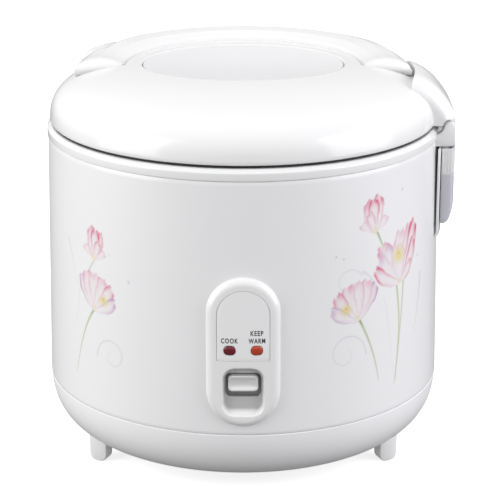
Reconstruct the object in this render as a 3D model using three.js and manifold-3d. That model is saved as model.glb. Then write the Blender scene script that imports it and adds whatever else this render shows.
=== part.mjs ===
// A round electric rice cooker with a side-hinged lid, a folding carry handle and a cook switch.
// Millimetres, +Z up, standing on z = 0. The switch panel faces -Y and the lid hinge is on +X.
// The frame's origin is the middle of the footprint; the drum's own axis is offset from it by AXIS.
import * as THREE from "three";
import { mergeVertices } from "three/addons/utils/BufferGeometryUtils.js";
import Module from "manifold-3d";

const wasm = await Module();
wasm.setup();

// ---------------------------------------------------------------- driving dimensions
// Cooking pot, and the well that it hangs in
const POT_R = 94; // inside radius
const POT_DEPTH = 112; // underside of the floor to the top of the rim
const POT_WALL = 1.6;
const POT_CORNER = 16; // radius between floor and wall
const POT_LIP = 9; // width of the rim that the pot hangs from
const POT_GAP = 2.5; // between pot and well
const WELL_WALL = 0.8;
const WELL_LIP = 2; // how far the well's flange reaches past the pot's lip

// Drum and ring
const JACKET_GAP = 22.1; // between well and drum, for the heater band and air
const DRUM_WALL = 1;
const DRUM_FLARE = 0.015; // growth of the drum's radius per millimetre of depth below the rim
const RING_H = 7.2; // visible height of the ring on top of the drum
const RING_PROUD = 0.6; // ring over the drum's radius
const RING_SKIRT = 6.8; // spigot inside the drum
const RING_WALL = 1.6;

// Base and feet
const FOOT_H = 9.4; // floor to the underside of the base
const BASE_CURVE_H = 42.2; // height of the rounded lower corner
const BASE_CORNER = 50.6; // its width
const BASE_POWER = 2.616; // its superellipse exponent
const BASE_SEAM_DROP = 4.4; // seam below the start of the rounding
const BASE_WALL = 2.5;
const BASE_HOLE_R = 58; // opening that the bottom cover closes
const FOOT_INSET = 18.2; // middle of a foot inside the drum's radius
const FOOT_ANGLE = 60.4; // degrees from the Y axis
const FOOT_W = 12;
const FOOT_T = 9;
const FOOT_ROUND = 3;
const FOOT_RISE = 13; // before its top is cut to the base's skin

// Heater, sensor and switch
const UNDER_PLATE = 74.6; // base underside to heating plate
const PLATE_T = 12;
const PLATE_R = 78;
const PLATE_HOLE_R = 17;
const RIM_RISE = 2.2; // lid plane over the pot's rim
const POST_R = 4;
const POST_CIRCLE_R = 66;
const SCREW_HEAD_R = 3.6;
const SENSOR_CAP_R = 15;
const MAGNET_R = 8;
const MAGNET_H = 4;
const LEVER_PIVOT_Y = -62;
const LEVER_T = 3;
const LEVER_W = 10;
const LEVER_DROP = 14.5; // heating plate's underside to the lever's axis
const KNOB_W = 17.6;
const KNOB_H = 9.5;
const KNOB_TRAVEL = 3.8;
const KNOB_DROP = 3.15; // heating plate's underside to the knob's centre
const PIN_R = 1.6;

// Front panel
const PANEL_W = 44;
const PANEL_H = 92.5;
const PANEL_PROUD = 3.5;
const PANEL_BACK = 1.5; // behind the drum's wall
const PANEL_RISE = 18.8; // panel's middle over the knob's centre
const LABEL_W = 31;
const LABEL_H = 43;
const LABEL_T = 0.7;
const LABEL_RISE = 36.15; // label's middle over the knob's centre
const LAMP_W = 6.7;
const LAMP_H = 5.6;
const LAMP_ROUND = 2.4;
const LAMP_SPREAD = 8; // each lamp from the middle
const LAMP_RISE = 21.2; // lamps over the knob's centre
const SCOOP_SIDE = 1.5; // scoop past each side of the knob's slot
const SCOOP_H = 30.5;
const SCOOP_DEPTH = 4;
const SCOOP_ROUND = 6;
const SCOOP_DROP = 5.1; // scoop's middle below the knob's centre
const SLOT_SIDE = 1.7; // room each side of the knob in its slot
const SLOT_HEAD = 1.1; // room over the knob

// Lid
const LID_INSET = 1.2; // lid radius inside the drum's
const LID_RISE = 36.6; // top of the dome over the lid plane
const LID_POWER = 3; // dome's superellipse exponent
const LID_WALL = 2.5;
const LID_GAP = 1.5; // lid's edge over the lid plane
const DISH_A = 62.8; // dish half length along X
const DISH_B = 50; // dish half width along Y
const DISH_DEPTH = 14.1;
const DISH_WALL = 1.8;
const VENT_Y = -17;
const VENT_R = 12;
const VENT_T = 1.6;

// Carry handle
const HANDLE_INSET = 15.3; // its outer edge inside the lid's radius
const HANDLE_W = 31.3;
const HANDLE_T = 11.1; // at the crown
const HANDLE_SEAT = 25; // floor of its recess over the lid plane
const HANDLE_PIVOT_Y = 5.2;
const HANDLE_PIN_R = 2;

// Release button and latch
const BUTTON_ANGLE = 147.5; // degrees from +X
const BUTTON_HALF = 11; // half its angle
const BUTTON_INSET = 7.8; // its outer edge inside the lid's radius
const BUTTON_W = 16;
const BUTTON_TOP = 34.5; // over the lid plane
const BUTTON_WALL = 2.5;
const BUTTON_PLAY = 0.9; // post over the latch arm, whose tip falls more slowly than the button
const LATCH_INSET = 8.5; // latch pivot inside the lid's radius
const LATCH_Z = 8; // over the lid plane
const LATCH_W = 12;
const LATCH_ARM = 13.3;
const LATCH_REACH = 8; // hook below the lid plane
const LATCH_ROOM = 2.5; // each side of the hook in its slots

// Hinge and dew collector
const HINGE_OUT = 5; // pivot outside the drum's radius
const HINGE_Z = 1; // pivot over the lid plane
const HINGE_PIN_R = 2;
const KNUCKLE_R = 5;
const EAR_R = 3.4;
const HINGE_HALF = 30.8; // half the hinge's width
const EAR_W = 6.4;
const LOBE_OUT = 6; // lid lobe outside the pivot
const LEDGE_TOP = 7.2; // bracket's floor below the lid plane
const LEDGE_H = 4.2;
const CUP_W = 64; // dew collector
const CUP_T = 7.2;
const CUP_H = 48.2;
const CUP_WALL = 1.2;
const CUP_DROP = 12.1; // cup's mouth below the lid plane
const CUP_ROUND = 5;
const BACK_T = 1.7;
const BACK_H = 56;

// Cord gland
const GLAND_W = 17.4;
const GLAND_H = 11.4;
const GLAND_Z = 30;
const GLAND_HOLE_R = 3.8;

// Clearances
const GAP = 0.3; // between pieces that touch
const SLIDE = 0.6; // around a piece that moves

// ---------------------------------------------------------------- derived places
const WELL_R = POT_R + POT_WALL + POT_GAP;
const WELL_OUT = WELL_R + WELL_WALL;
const LIP_R = POT_R + POT_WALL + POT_LIP;
const FLANGE_R = LIP_R + WELL_LIP;
const DRUM_R = WELL_OUT + JACKET_GAP + DRUM_WALL;
const PLATE_Z = FOOT_H + UNDER_PLATE;
const POT_Z = PLATE_Z + PLATE_T + GAP + 0.1;
const RIM_Z = POT_Z + POT_DEPTH + RIM_RISE;
const CURVE_Z = FOOT_H + BASE_CURVE_H;
const SEAM_Z = CURVE_Z - BASE_SEAM_DROP;
const LID_R = DRUM_R - LID_INSET;
const KNOB_Z = PLATE_Z - KNOB_DROP;
const LEVER_Z = PLATE_Z - LEVER_DROP;
const HINGE_X = DRUM_R + HINGE_OUT;
const PIVOT_Z = RIM_Z + HINGE_Z;
const PANEL_Z = KNOB_Z + PANEL_RISE;
const HANDLE_OUT = LID_R - HANDLE_INSET;
const HANDLE_IN = HANDLE_OUT - HANDLE_W;
const BUTTON_IN = LID_R - BUTTON_INSET - BUTTON_W;
const LATCH_R = LID_R - LATCH_INSET;
const FOOT_R = DRUM_R - FOOT_INSET;
const SLOT_W = KNOB_W + 2 * SLOT_SIDE;
const SCOOP_W = SLOT_W + 2 * SCOOP_SIDE;
const HANDLE_Z = RIM_Z + HANDLE_SEAT + GAP + 0.2; // handle's underside
const PLATEAU_R = HANDLE_IN - SLIDE - 0.2; // middle of the lid, inside the handle
const ROUND = 36; // sides of the large round shells
const SMALL = 16; // sides of the small round pieces

const drumRadius = (z) => DRUM_R + DRUM_FLARE * (RIM_Z - z);
const BASE_WIDE = drumRadius(CURVE_Z);
const REACH_LEFT = BASE_WIDE;
const REACH_RIGHT = HINGE_X + LOBE_OUT;
const REACH_REAR = BASE_WIDE;
const REACH_FRONT = drumRadius(PANEL_Z - PANEL_H / 2) + PANEL_PROUD;
const AXIS = [(REACH_LEFT - REACH_RIGHT) / 2, (REACH_FRONT - REACH_REAR) / 2];

// Radius of the outer skin at a height, through the drum and the rounded base. The inset moves it inwards.
function skinRadius(z, inset = 0) {
  if (z >= CURVE_Z) return drumRadius(z) - inset;
  const t = Math.min(1, (CURVE_Z - z) / (BASE_CURVE_H - inset));
  const across = (1 - t ** BASE_POWER) ** (1 / BASE_POWER);
  return BASE_WIDE - BASE_CORNER + (BASE_CORNER - inset) * across;
}

// Height of the lid's dome over the lid plane at a radius, for a dome moved inwards by an inset.
function domeHeight(r, inset = 0) {
  const share = Math.min(1, r / (LID_R - inset));
  return (LID_RISE - inset) * (1 - share ** LID_POWER) ** (1 / LID_POWER);
}

// Points down the dome from its crown to its edge, as radius and height over the lid plane.
const DOME_STEPS = [0, 0.35, 0.58, 0.74, 0.85, 0.92, 0.965, 0.99, 1];
const domeLine = () => DOME_STEPS.map((s) => [s * LID_R, Math.max(LID_GAP + 2.5, domeHeight(s * LID_R))]);

// ---------------------------------------------------------------- shape helpers
const root = new THREE.Group();
const body = new THREE.Group();
body.position.set(AXIS[0], AXIS[1], 0);
root.add(body);

// A closed geometry as a manifold-3d solid.
function solid(geometry) {
  const bare = geometry.clone();
  bare.deleteAttribute("normal");
  bare.deleteAttribute("uv");
  const merged = mergeVertices(bare, 1e-3);
  return new wasm.Manifold(
    new wasm.Mesh({
      numProp: 3,
      vertProperties: merged.attributes.position.array,
      triVerts: new Uint32Array(merged.index.array),
    }),
  );
}

// A manifold-3d solid as a geometry.
function geometryOf(made) {
  const mesh = made.getMesh();
  const geometry = new THREE.BufferGeometry();
  geometry.setAttribute("position", new THREE.BufferAttribute(mesh.vertProperties, 3));
  geometry.setIndex(new THREE.BufferAttribute(mesh.triVerts, 1));
  geometry.computeVertexNormals();
  return geometry;
}

// Adds one named piece, with a material of its own.
function piece(name, made, look) {
  const [color, roughness, metalness] = look;
  const material = new THREE.MeshStandardMaterial({ color, roughness, metalness });
  const mesh = new THREE.Mesh(geometryOf(made), material);
  mesh.name = name;
  body.add(mesh);
  return mesh;
}

// A solid of revolution about Z from a closed outline of [radius, height] points, anticlockwise.
function turned(outline, sides = ROUND) {
  const points = outline.map(([r, z]) => new THREE.Vector2(r, z));
  if (outline[0][0] > 0 || outline.at(-1)[0] > 0) points.push(points[0].clone());
  return solid(new THREE.LatheGeometry(points, sides).rotateX(Math.PI / 2));
}

// A round bar or disc about Z.
const disc = (r, low, high, sides = SMALL) =>
  turned([[0, low], [r, low], [r, high], [0, high]], sides);

// A ring about Z.
const ring = (inner, outer, low, high, sides = SMALL) =>
  turned([[inner, low], [outer, low], [outer, high], [inner, high]], sides);

// A box from two corners.
function block(low, high) {
  const size = low.map((value, i) => high[i] - value);
  const box = new THREE.BoxGeometry(...size);
  return solid(box.translate(...low.map((value, i) => value + size[i] / 2)));
}

// An outline drawn in X and Z, as deep as from one Y to another.
function slab(shape, from, to, curve = 8) {
  const options = { depth: to - from, bevelEnabled: false, curveSegments: curve };
  const geometry = new THREE.ExtrudeGeometry(shape, options);
  return solid(geometry.rotateX(Math.PI / 2).translate(0, to, 0));
}

// An outline drawn in X and Y, as tall as from one height to another.
function prism(shape, low, high, curve = 8) {
  const options = { depth: high - low, bevelEnabled: false, curveSegments: curve };
  return solid(new THREE.ExtrudeGeometry(shape, options).translate(0, 0, low));
}

// A bar along X or Y, through a point.
function barX(r, x0, x1, y, z, sides = SMALL) {
  const bar = new THREE.CylinderGeometry(r, r, x1 - x0, sides).rotateZ(Math.PI / 2);
  return solid(bar.translate((x0 + x1) / 2, y, z));
}
function barY(r, y0, y1, x, z, sides = SMALL) {
  return solid(new THREE.CylinderGeometry(r, r, y1 - y0, sides).translate(x, (y0 + y1) / 2, z));
}

const polygon = (points) => new THREE.Shape(points.map(([x, y]) => new THREE.Vector2(x, y)));

// A rectangle with round corners, about a point.
function roundedRect(w, h, radius, x = 0, y = 0) {
  const shape = new THREE.Shape();
  const [a, b] = [w / 2 - radius, h / 2 - radius];
  shape.absarc(x + a, y + b, radius, 0, Math.PI / 2);
  shape.absarc(x - a, y + b, radius, Math.PI / 2, Math.PI);
  shape.absarc(x - a, y - b, radius, Math.PI, 1.5 * Math.PI);
  shape.absarc(x + a, y - b, radius, 1.5 * Math.PI, 2 * Math.PI);
  shape.closePath();
  return shape;
}

// A sector of a ring, standing between two heights, about the Z axis.
function sector(inner, outer, degrees, half, low, high) {
  const [a, b] = [degrees - half, degrees + half].map(THREE.MathUtils.degToRad);
  const shape = new THREE.Shape();
  shape.absarc(0, 0, outer, a, b, false);
  shape.absarc(0, 0, inner, b, a, true);
  shape.closePath();
  return prism(shape, low, high);
}

// Turns a solid about the Z axis.
const spin = (made, degrees) => made.rotate([0, 0, degrees]);

// ---------------------------------------------------------------- finishes: colour, roughness, metalness
const WHITE = [0xf6f6f4, 0.28, 0];
const SHELL = [0xefeff2, 0.35, 0];
const GREY = [0xd6d7d8, 0.4, 0];
const CLEAR = [0xb9bac4, 0.2, 0];
const DARK = [0x2a2a2c, 0.7, 0];
const STEEL = [0xb8babd, 0.35, 1];
const CAST = [0xa7a9ab, 0.55, 1];
const POT = [0x4a4b4d, 0.5, 0.6];
const SILVER = [0xc9cacc, 0.3, 0.8];
const COOK_RED = [0x7a1420, 0.25, 0];
const WARM_RED = [0xc6452a, 0.25, 0];
const BOARD = [0x3d6b45, 0.7, 0];
const MICA = [0xa79878, 0.7, 0];

// ---------------------------------------------------------------- panel openings, shared by drum and panel
const FACE_Y = -drumRadius(KNOB_Z); // drum's surface in front of the knob
const FAR_Y = FACE_Y - 2 * PANEL_PROUD - 5;
const NEAR_Y = FACE_Y + 24;
const panelShape = (grow) => {
  const [w, h] = [PANEL_W + 2 * grow, PANEL_H + 2 * grow];
  return roundedRect(w, h, w / 2, 0, PANEL_Z);
};
const labelShape = (grow) => {
  const shape = new THREE.Shape();
  const [half, middle] = [LABEL_W / 2 + grow, KNOB_Z + LABEL_RISE];
  shape.moveTo(-half, middle - LABEL_H / 2 - grow);
  shape.lineTo(half, middle - LABEL_H / 2 - grow);
  shape.absarc(0, middle + LABEL_H / 2 - LABEL_W / 2, half, 0, Math.PI);
  shape.closePath();
  return shape;
};
const lampShape = (side, grow) => {
  const [w, h] = [LAMP_W + 2 * grow, LAMP_H + 2 * grow];
  return roundedRect(w, h, LAMP_ROUND + grow, side * LAMP_SPREAD, KNOB_Z + LAMP_RISE);
};

// The space between two skins that follow the drum, over the panel's height.
function shellBand(inner, outer) {
  const [low, high] = [PANEL_Z - PANEL_H / 2 - 1, PANEL_Z + PANEL_H / 2 + 1];
  const heights = low < CURVE_Z ? [low, CURVE_Z, high] : [low, high];
  const out = heights.map((z) => [drumRadius(z) + outer, z]);
  const back = heights.map((z) => [drumRadius(z) + inner, z]).reverse();
  return turned([...out, ...back]);
}

// ---------------------------------------------------------------- drum, ring and base
function outerDrum() {
  const heights = [SEAM_Z + GAP, (SEAM_Z + CURVE_Z) / 2, CURVE_Z, RIM_Z - RING_H - GAP];
  const out = heights.map((z) => [skinRadius(z), z]);
  const back = heights.map((z) => [skinRadius(z) - DRUM_WALL, z]).reverse();
  const window = slab(panelShape(0.4), FAR_Y, NEAR_Y);
  piece("outer_drum", turned([...out, ...back]).subtract(window), SHELL);
}

function topRing() {
  const [out, skirt] = [DRUM_R + RING_PROUD, DRUM_R - DRUM_WALL - GAP];
  const [top, under] = [RIM_Z - GAP, RIM_Z - RING_H - 0.2];
  const seat = RIM_Z - RIM_RISE - POT_WALL - GAP - WELL_WALL - GAP; // below the well's flange
  const outline = [
    [skirt - RING_WALL, RIM_Z - RING_H - RING_SKIRT],
    [skirt, RIM_Z - RING_H - RING_SKIRT],
    [skirt, RIM_Z - RING_H],
    [out, RIM_Z - RING_H],
    [out, RIM_Z - 3],
    [out - 1, RIM_Z - 0.9],
    [out - 2.8, top],
    [FLANGE_R + SLIDE, top],
    [FLANGE_R + SLIDE, seat],
    [WELL_OUT + 2.2, seat],
    [WELL_OUT + 2.2, under],
    [skirt - RING_WALL, under],
  ];
  const half = LATCH_W / 2 + LATCH_ROOM;
  const slot = block([FLANGE_R + 1.1, -half, under - 2], [skirt - RING_WALL - 0.4, half, top + 2]);
  piece("top_ring", turned(outline).subtract(spin(slot, BUTTON_ANGLE)), WHITE);
}

function baseShell() {
  const steps = [0, 0.3, 0.56, 0.78, 0.93, 1];
  const curve = (inset, top) => steps.map((s) => {
    const z = top - s * (top - FOOT_H - inset);
    return [skinRadius(z, inset), z];
  });
  const collarOut = skinRadius(CURVE_Z) - DRUM_WALL - GAP - 0.3;
  const collarTop = CURVE_Z + 1;
  const outline = [
    [BASE_HOLE_R, FOOT_H],
    ...curve(0, SEAM_Z).reverse(),
    [skinRadius(SEAM_Z) - DRUM_WALL - GAP - 0.4, SEAM_Z],
    [collarOut, collarTop],
    [collarOut - BASE_WALL + DRUM_WALL, collarTop],
    ...curve(BASE_WALL, SEAM_Z),
    [BASE_HOLE_R, FOOT_H + BASE_WALL],
  ];
  let made = turned(outline);
  for (const turn of [0, 120, 240]) {
    const bore = disc(PIN_R + GAP, 0, CURVE_Z, 12).translate([0, POST_CIRCLE_R, 0]);
    made = made.subtract(spin(bore, turn));
  }
  const window = slab(roundedRect(GLAND_W + 2 * GAP, GLAND_H + 2 * GAP, 3, 0, GLAND_Z), 60, 150);
  piece("base_shell", made.subtract(window), WHITE);
}

function bottomCover() {
  let made = disc(BASE_HOLE_R - GAP, FOOT_H + 0.2, FOOT_H + 2.2, ROUND);
  for (let i = -3; i <= 3; i += 1) {
    const vent = block([i * 9 - 1.5, -34, FOOT_H - 1], [i * 9 + 1.5, -16, FOOT_H + 4]);
    made = made.subtract(vent);
  }
  piece("bottom_cover", made, GREY);
}

// Each foot stands under the rounded base, and its top follows the base's skin.
function feet() {
  const skin = [];
  for (const s of [0, 0.35, 0.6, 0.8, 0.92, 1]) {
    const z = SEAM_Z - s * (SEAM_Z - FOOT_H);
    skin.push([skinRadius(z) + GAP, z - GAP]);
  }
  const over = turned([[0, SEAM_Z - GAP], [0, FOOT_H - GAP], ...skin.reverse()]);
  const names = { front_left: -1, front_right: 1, rear_right: -1, rear_left: 1 };
  for (const [name, side] of Object.entries(names)) {
    const rear = name.startsWith("rear") ? 180 : 0;
    const angle = rear + side * FOOT_ANGLE;
    const height = 2 * (FOOT_H + FOOT_RISE);
    const outline = roundedRect(FOOT_W, height, FOOT_ROUND, 0, height / 2);
    const tab = slab(outline, -FOOT_T / 2, FOOT_T / 2).translate([0, -FOOT_R, 0]);
    piece("foot_" + name, spin(tab, angle).subtract(over), WHITE);
  }
}

function cordGland() {
  const [back, front] = [skinRadius(GLAND_Z) - 9, skinRadius(GLAND_Z) + 2.2];
  const made = slab(roundedRect(GLAND_W, GLAND_H, 3, 0, GLAND_Z), back, front, 5);
  piece("cord_gland", made.subtract(barY(GLAND_HOLE_R, back - 2, front + 2, 0, GLAND_Z, 20)), DARK);
}

// ---------------------------------------------------------------- pot, well and heaters
function potWell() {
  const top = RIM_Z - RIM_RISE - POT_WALL - GAP;
  const floor = PLATE_Z + 2;
  const outline = [
    [PLATE_R + 3, floor],
    [WELL_OUT, floor],
    [WELL_OUT, top - WELL_WALL],
    [FLANGE_R, top - WELL_WALL],
    [FLANGE_R, top],
    [WELL_R, top],
    [WELL_R, floor + WELL_WALL],
    [PLATE_R + 3, floor + WELL_WALL],
  ];
  piece("pot_well", turned(outline), STEEL);
}

function innerPot() {
  const corner = (radius, inset) => [0, 30, 60, 90].map((degrees) => {
    const a = THREE.MathUtils.degToRad(degrees);
    const [x, z] = [POT_R + POT_WALL - POT_CORNER, POT_Z + POT_CORNER];
    return [x + (radius - inset) * Math.sin(a), z - (radius - inset) * Math.cos(a)];
  });
  const [rim, out] = [POT_Z + POT_DEPTH, POT_R + POT_WALL];
  const outline = [
    [0, POT_Z],
    ...corner(POT_CORNER, 0),
    [out, rim - POT_WALL],
    [LIP_R, rim - POT_WALL],
    [LIP_R, rim],
    [POT_R, rim],
    ...corner(POT_CORNER, POT_WALL).reverse(),
    [0, POT_Z + POT_WALL],
  ];
  piece("inner_pot", turned(outline), POT);
}

function heaters() {
  const high = PLATE_Z + PLATE_T;
  const outline = [
    [PLATE_HOLE_R, PLATE_Z],
    [PLATE_R - 3, PLATE_Z],
    [PLATE_R, PLATE_Z + 3],
    [PLATE_R, high - 3],
    [PLATE_R - 3, high],
    [PLATE_HOLE_R, high],
  ];
  piece("heating_plate", turned(outline, 36), CAST);
  const band = ring(WELL_OUT + GAP, WELL_OUT + 1.8, PLATE_Z + 40, PLATE_Z + 62, ROUND);
  piece("side_heater_band", band, MICA);
  [0, 120, 240].forEach((turn, i) => {
    const post = disc(POST_R, FOOT_H + BASE_WALL + 1.3, PLATE_Z - GAP, 16);
    piece("plate_post_" + (i + 1), spin(post.translate([0, POST_CIRCLE_R, 0]), turn), STEEL);
    const head = FOOT_H - GAP;
    const screw = disc(SCREW_HEAD_R, head - 1.8, head, 12).add(disc(PIN_R, head, head + 3.6, 12));
    piece("base_screw_" + (i + 1), spin(screw.translate([0, POST_CIRCLE_R, 0]), turn), STEEL);
  });
  piece("thermal_fuse", barX(3, -10, 10, 40, PLATE_Z - 5, 12), GREY);
  const floor = FOOT_H + 2.2 + GAP;
  piece("terminal_block", block([-15, 30, floor], [15, 44, floor + 13]), GREY);
}

// ---------------------------------------------------------------- temperature sensor and cook switch
const SPRING_FLOOR = PLATE_Z - 2.5;
const CAP_LOW = PLATE_Z + 7.5;
function sensor() {
  const top = POT_Z - GAP;
  const cap = [
    [0, PLATE_Z + 0.5],
    [4, PLATE_Z + 0.5],
    [4, CAP_LOW],
    [SENSOR_CAP_R, CAP_LOW],
    [SENSOR_CAP_R, top - 1.5],
    [SENSOR_CAP_R - 2, top],
    [0, top],
  ];
  piece("sensor_cap", turned(cap), CAST);
  piece("sensor_spring", ring(6, 7.8, SPRING_FLOOR + 0.2, CAP_LOW - 0.2), STEEL);
  const [inner, wall, under] = [MAGNET_R + 0.5, 1.5, PLATE_Z - GAP];
  const mouth = PLATE_Z - 9.2; // clear of the lever's raised end
  const holder = [
    [inner, mouth],
    [inner + wall, mouth],
    [inner + wall, under - wall],
    [PLATE_HOLE_R + 7, under - wall],
    [PLATE_HOLE_R + 7, under],
    [inner, under],
    [inner, SPRING_FLOOR],
    [5, SPRING_FLOOR],
    [5, SPRING_FLOOR - wall],
    [inner, SPRING_FLOOR - wall],
  ];
  piece("sensor_holder", turned(holder, SMALL), STEEL);
  const foot = LEVER_Z + LEVER_T / 2 + SLIDE;
  piece("magnet", disc(MAGNET_R, foot, foot + MAGNET_H), CAST);
}

function cookSwitch() {
  const pivot = [LEVER_PIVOT_Y, LEVER_Z];
  const half = LEVER_W / 2;
  const knobBack = FACE_Y + 14;
  const strap = block([-half, knobBack + GAP, LEVER_Z - LEVER_T / 2], [half, -4, LEVER_Z + LEVER_T / 2]);
  const riserLow = [-half, knobBack + GAP, LEVER_Z - LEVER_T / 2];
  const riser = block(riserLow, [half, knobBack + GAP + LEVER_T, KNOB_Z + 3]);
  const boss = barX(PIN_R + GAP + 2.2, -half, half, ...pivot, 20);
  const bore = barX(PIN_R + GAP, -half - 1, half + 1, ...pivot, 20);
  piece("switch_lever", strap.add(riser).add(boss).subtract(bore), STEEL);
  const face = FACE_Y - PANEL_PROUD + 1.2;
  piece("cook_knob", slab(roundedRect(KNOB_W, KNOB_H, 2.5, 0, KNOB_Z), face, knobBack), SILVER);

  const [ear, thick] = [half + 1, 1.6];
  const [front, back] = [LEVER_PIVOT_Y - 10, LEVER_PIVOT_Y + 10];
  const top = PLATE_Z - GAP;
  const low = LEVER_Z - 4.5;
  let bracket = block([-12, front, top - thick], [12, back, top]);
  for (const side of [-1, 1]) {
    const [x0, x1] = side < 0 ? [-ear - thick, -ear] : [ear, ear + thick];
    bracket = bracket.add(block([x0, front + 4, low], [x1, back - 4, top]));
  }
  const hole = barX(PIN_R + GAP, -20, 20, ...pivot, 20);
  piece("lever_bracket", bracket.subtract(hole), STEEL);
  piece("lever_pin", barX(PIN_R, -ear - thick, ear + thick + 2, ...pivot, 16), STEEL);
  const side = -ear - thick - GAP;
  piece("micro_switch", block([side - 8, front + 2, low], [side, back - 2, top - thick - GAP]), DARK);
}

// ---------------------------------------------------------------- front panel
function frontPanel() {
  const band = shellBand(-DRUM_WALL - PANEL_BACK, PANEL_PROUD);
  const label = shellBand(PANEL_PROUD - LABEL_T - GAP - 0.1, PANEL_PROUD + 9);
  const scoop = shellBand(PANEL_PROUD - SCOOP_DEPTH, PANEL_PROUD + 9);
  const slotH = KNOB_H + KNOB_TRAVEL + SLOT_HEAD + SLIDE;
  const slotZ = KNOB_Z + KNOB_H / 2 + SLOT_HEAD - slotH / 2;
  let made = slab(panelShape(0), FAR_Y, NEAR_Y, 12).intersect(band);
  made = made.subtract(slab(labelShape(GAP), FAR_Y, NEAR_Y, 10).intersect(label));
  const hollow = roundedRect(SCOOP_W, SCOOP_H, SCOOP_ROUND, 0, KNOB_Z - SCOOP_DROP);
  made = made.subtract(slab(hollow, FAR_Y, NEAR_Y).intersect(scoop));
  made = made.subtract(slab(roundedRect(SLOT_W, slotH, 3, 0, slotZ), FAR_Y, NEAR_Y));
  let plate = shellBand(PANEL_PROUD - LABEL_T - 0.1, PANEL_PROUD - 0.1);
  plate = plate.intersect(slab(labelShape(0), FAR_Y, NEAR_Y, 10));
  const lens = shellBand(-DRUM_WALL - PANEL_BACK, PANEL_PROUD + 0.5);
  for (const [name, side, look] of [["cook", -1, COOK_RED], ["warm", 1, WARM_RED]]) {
    const hole = slab(lampShape(side, GAP), FAR_Y, NEAR_Y, 4);
    made = made.subtract(hole);
    plate = plate.subtract(hole);
    piece(name + "_lens", slab(lampShape(side, 0), FAR_Y, NEAR_Y, 4).intersect(lens), look);
    const x = side * LAMP_SPREAD;
    const behind = FACE_Y + DRUM_WALL + PANEL_BACK + 2;
    piece(name + "_lamp", barY(2, behind, behind + 8, x, KNOB_Z + LAMP_RISE, 12), GREY);
  }
  piece("panel_bezel", made, WHITE);
  piece("label_plate", plate, GREY);
  const boardY = FACE_Y + DRUM_WALL + PANEL_BACK + 2 + 8 + GAP;
  const boardZ = KNOB_Z + LAMP_RISE;
  piece("lamp_board", block([-16, boardY, boardZ - 7], [16, boardY + 1.6, boardZ + 9]), BOARD);
}

// ---------------------------------------------------------------- lid
function lidCover() {
  const edge = LID_GAP;
  const outer = domeLine().reverse();
  const dome = turned([[0, edge], [LID_R - 1, edge], ...outer].map(([r, z]) => [r, z + RIM_Z]));

  // The hollow under the dome steps down under the handle's recess.
  const under = HANDLE_SEAT - LID_WALL + 0.1;
  const inner = LID_R - LID_WALL;
  const shelf = inner * (1 - (under / (LID_RISE - LID_WALL)) ** LID_POWER) ** (1 / LID_POWER);
  const plateau = PLATEAU_R - LID_WALL;
  const flank = [0.25, 0.5, 0.75, 1].map((s) => shelf + s * (inner - shelf));
  const hollow = [
    [0, edge - 2],
    [inner, edge - 2],
    [inner, edge],
    ...flank.slice(0, -1).reverse().map((r) => [r, domeHeight(r, LID_WALL)]),
    [shelf, under],
    [plateau, under],
    [plateau, domeHeight(plateau, LID_WALL)],
    [plateau * 0.6, domeHeight(plateau * 0.6, LID_WALL)],
    [0, LID_RISE - LID_WALL],
  ];
  let made = dome.subtract(turned(hollow.map(([r, z]) => [r, z + RIM_Z])));

  const seat = RIM_Z + HANDLE_SEAT;
  const recess = ring(PLATEAU_R, LID_R + 5, seat, seat + 30, ROUND);
  const wallY = HANDLE_PIVOT_Y - handleEndR() - 1.7;
  made = made.subtract(recess.intersect(block([-200, wallY, 0], [200, 200, 400])));
  made = made.subtract(disc(DISH_A, seat - 8, seat + 40, 32).scale([1, DISH_B / DISH_A, 1]));
  made = made.subtract(buttonSector(SLIDE, RIM_Z + 4, RIM_Z + 60));
  for (const side of [-1, 1]) {
    const [x0, x1] = side < 0 ? [-HANDLE_IN - 2, -HANDLE_IN + 12] : [HANDLE_IN - 12, HANDLE_IN + 2];
    made = made.subtract(barX(HANDLE_PIN_R + GAP, x0, x1, HANDLE_PIVOT_Y, handlePivotZ(), 16));
  }
  piece("lid_cover", made, WHITE);
}

// The dish is an oval bowl whose wall climbs steeply near its rim.
function dishInsert() {
  const [a, top] = [DISH_A - 0.4, RIM_Z + domeHeight(DISH_A) - 0.5];
  const floor = top - DISH_DEPTH;
  const bowl = (r) => floor + DISH_DEPTH * (r / a) ** 4;
  const radii = [0, 0.4, 0.62, 0.78, 0.9, 0.97].map((share) => share * a);
  const inside = [...radii.map((r) => [r, bowl(r)]), [a, top]].reverse();
  const outside = radii.map((r) => [r, bowl(r) - DISH_WALL * (1 + r / a)]);
  const made = turned([...outside, [a, top - 2.4], ...inside], 32).scale([1, DISH_B / DISH_A, 1]);
  piece("dish_insert", made.subtract(disc(7, floor - 9, floor + 9).translate([0, VENT_Y, 0])), GREY);

  // Steam leaves through the cap's stem, from the hole in the inner lid.
  const rise = bowl((Math.abs(VENT_Y) + VENT_R) * (DISH_A / DISH_B)) + 2 * GAP;
  const stem = [
    [4, RIM_Z + 2.6],
    [6, RIM_Z + 2.6],
    [6, rise],
    [VENT_R, rise],
    [VENT_R, rise + VENT_T / 2],
    [VENT_R - 1, rise + VENT_T],
    [4, rise + VENT_T],
  ];
  piece("steam_vent_cap", turned(stem, 20).translate([0, VENT_Y, 0]), WHITE);
  piece("steam_vent_seal", ring(6.4, 8.6, RIM_Z + 0.2, RIM_Z + 2.2).translate([0, VENT_Y, 0]), DARK);
}

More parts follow.
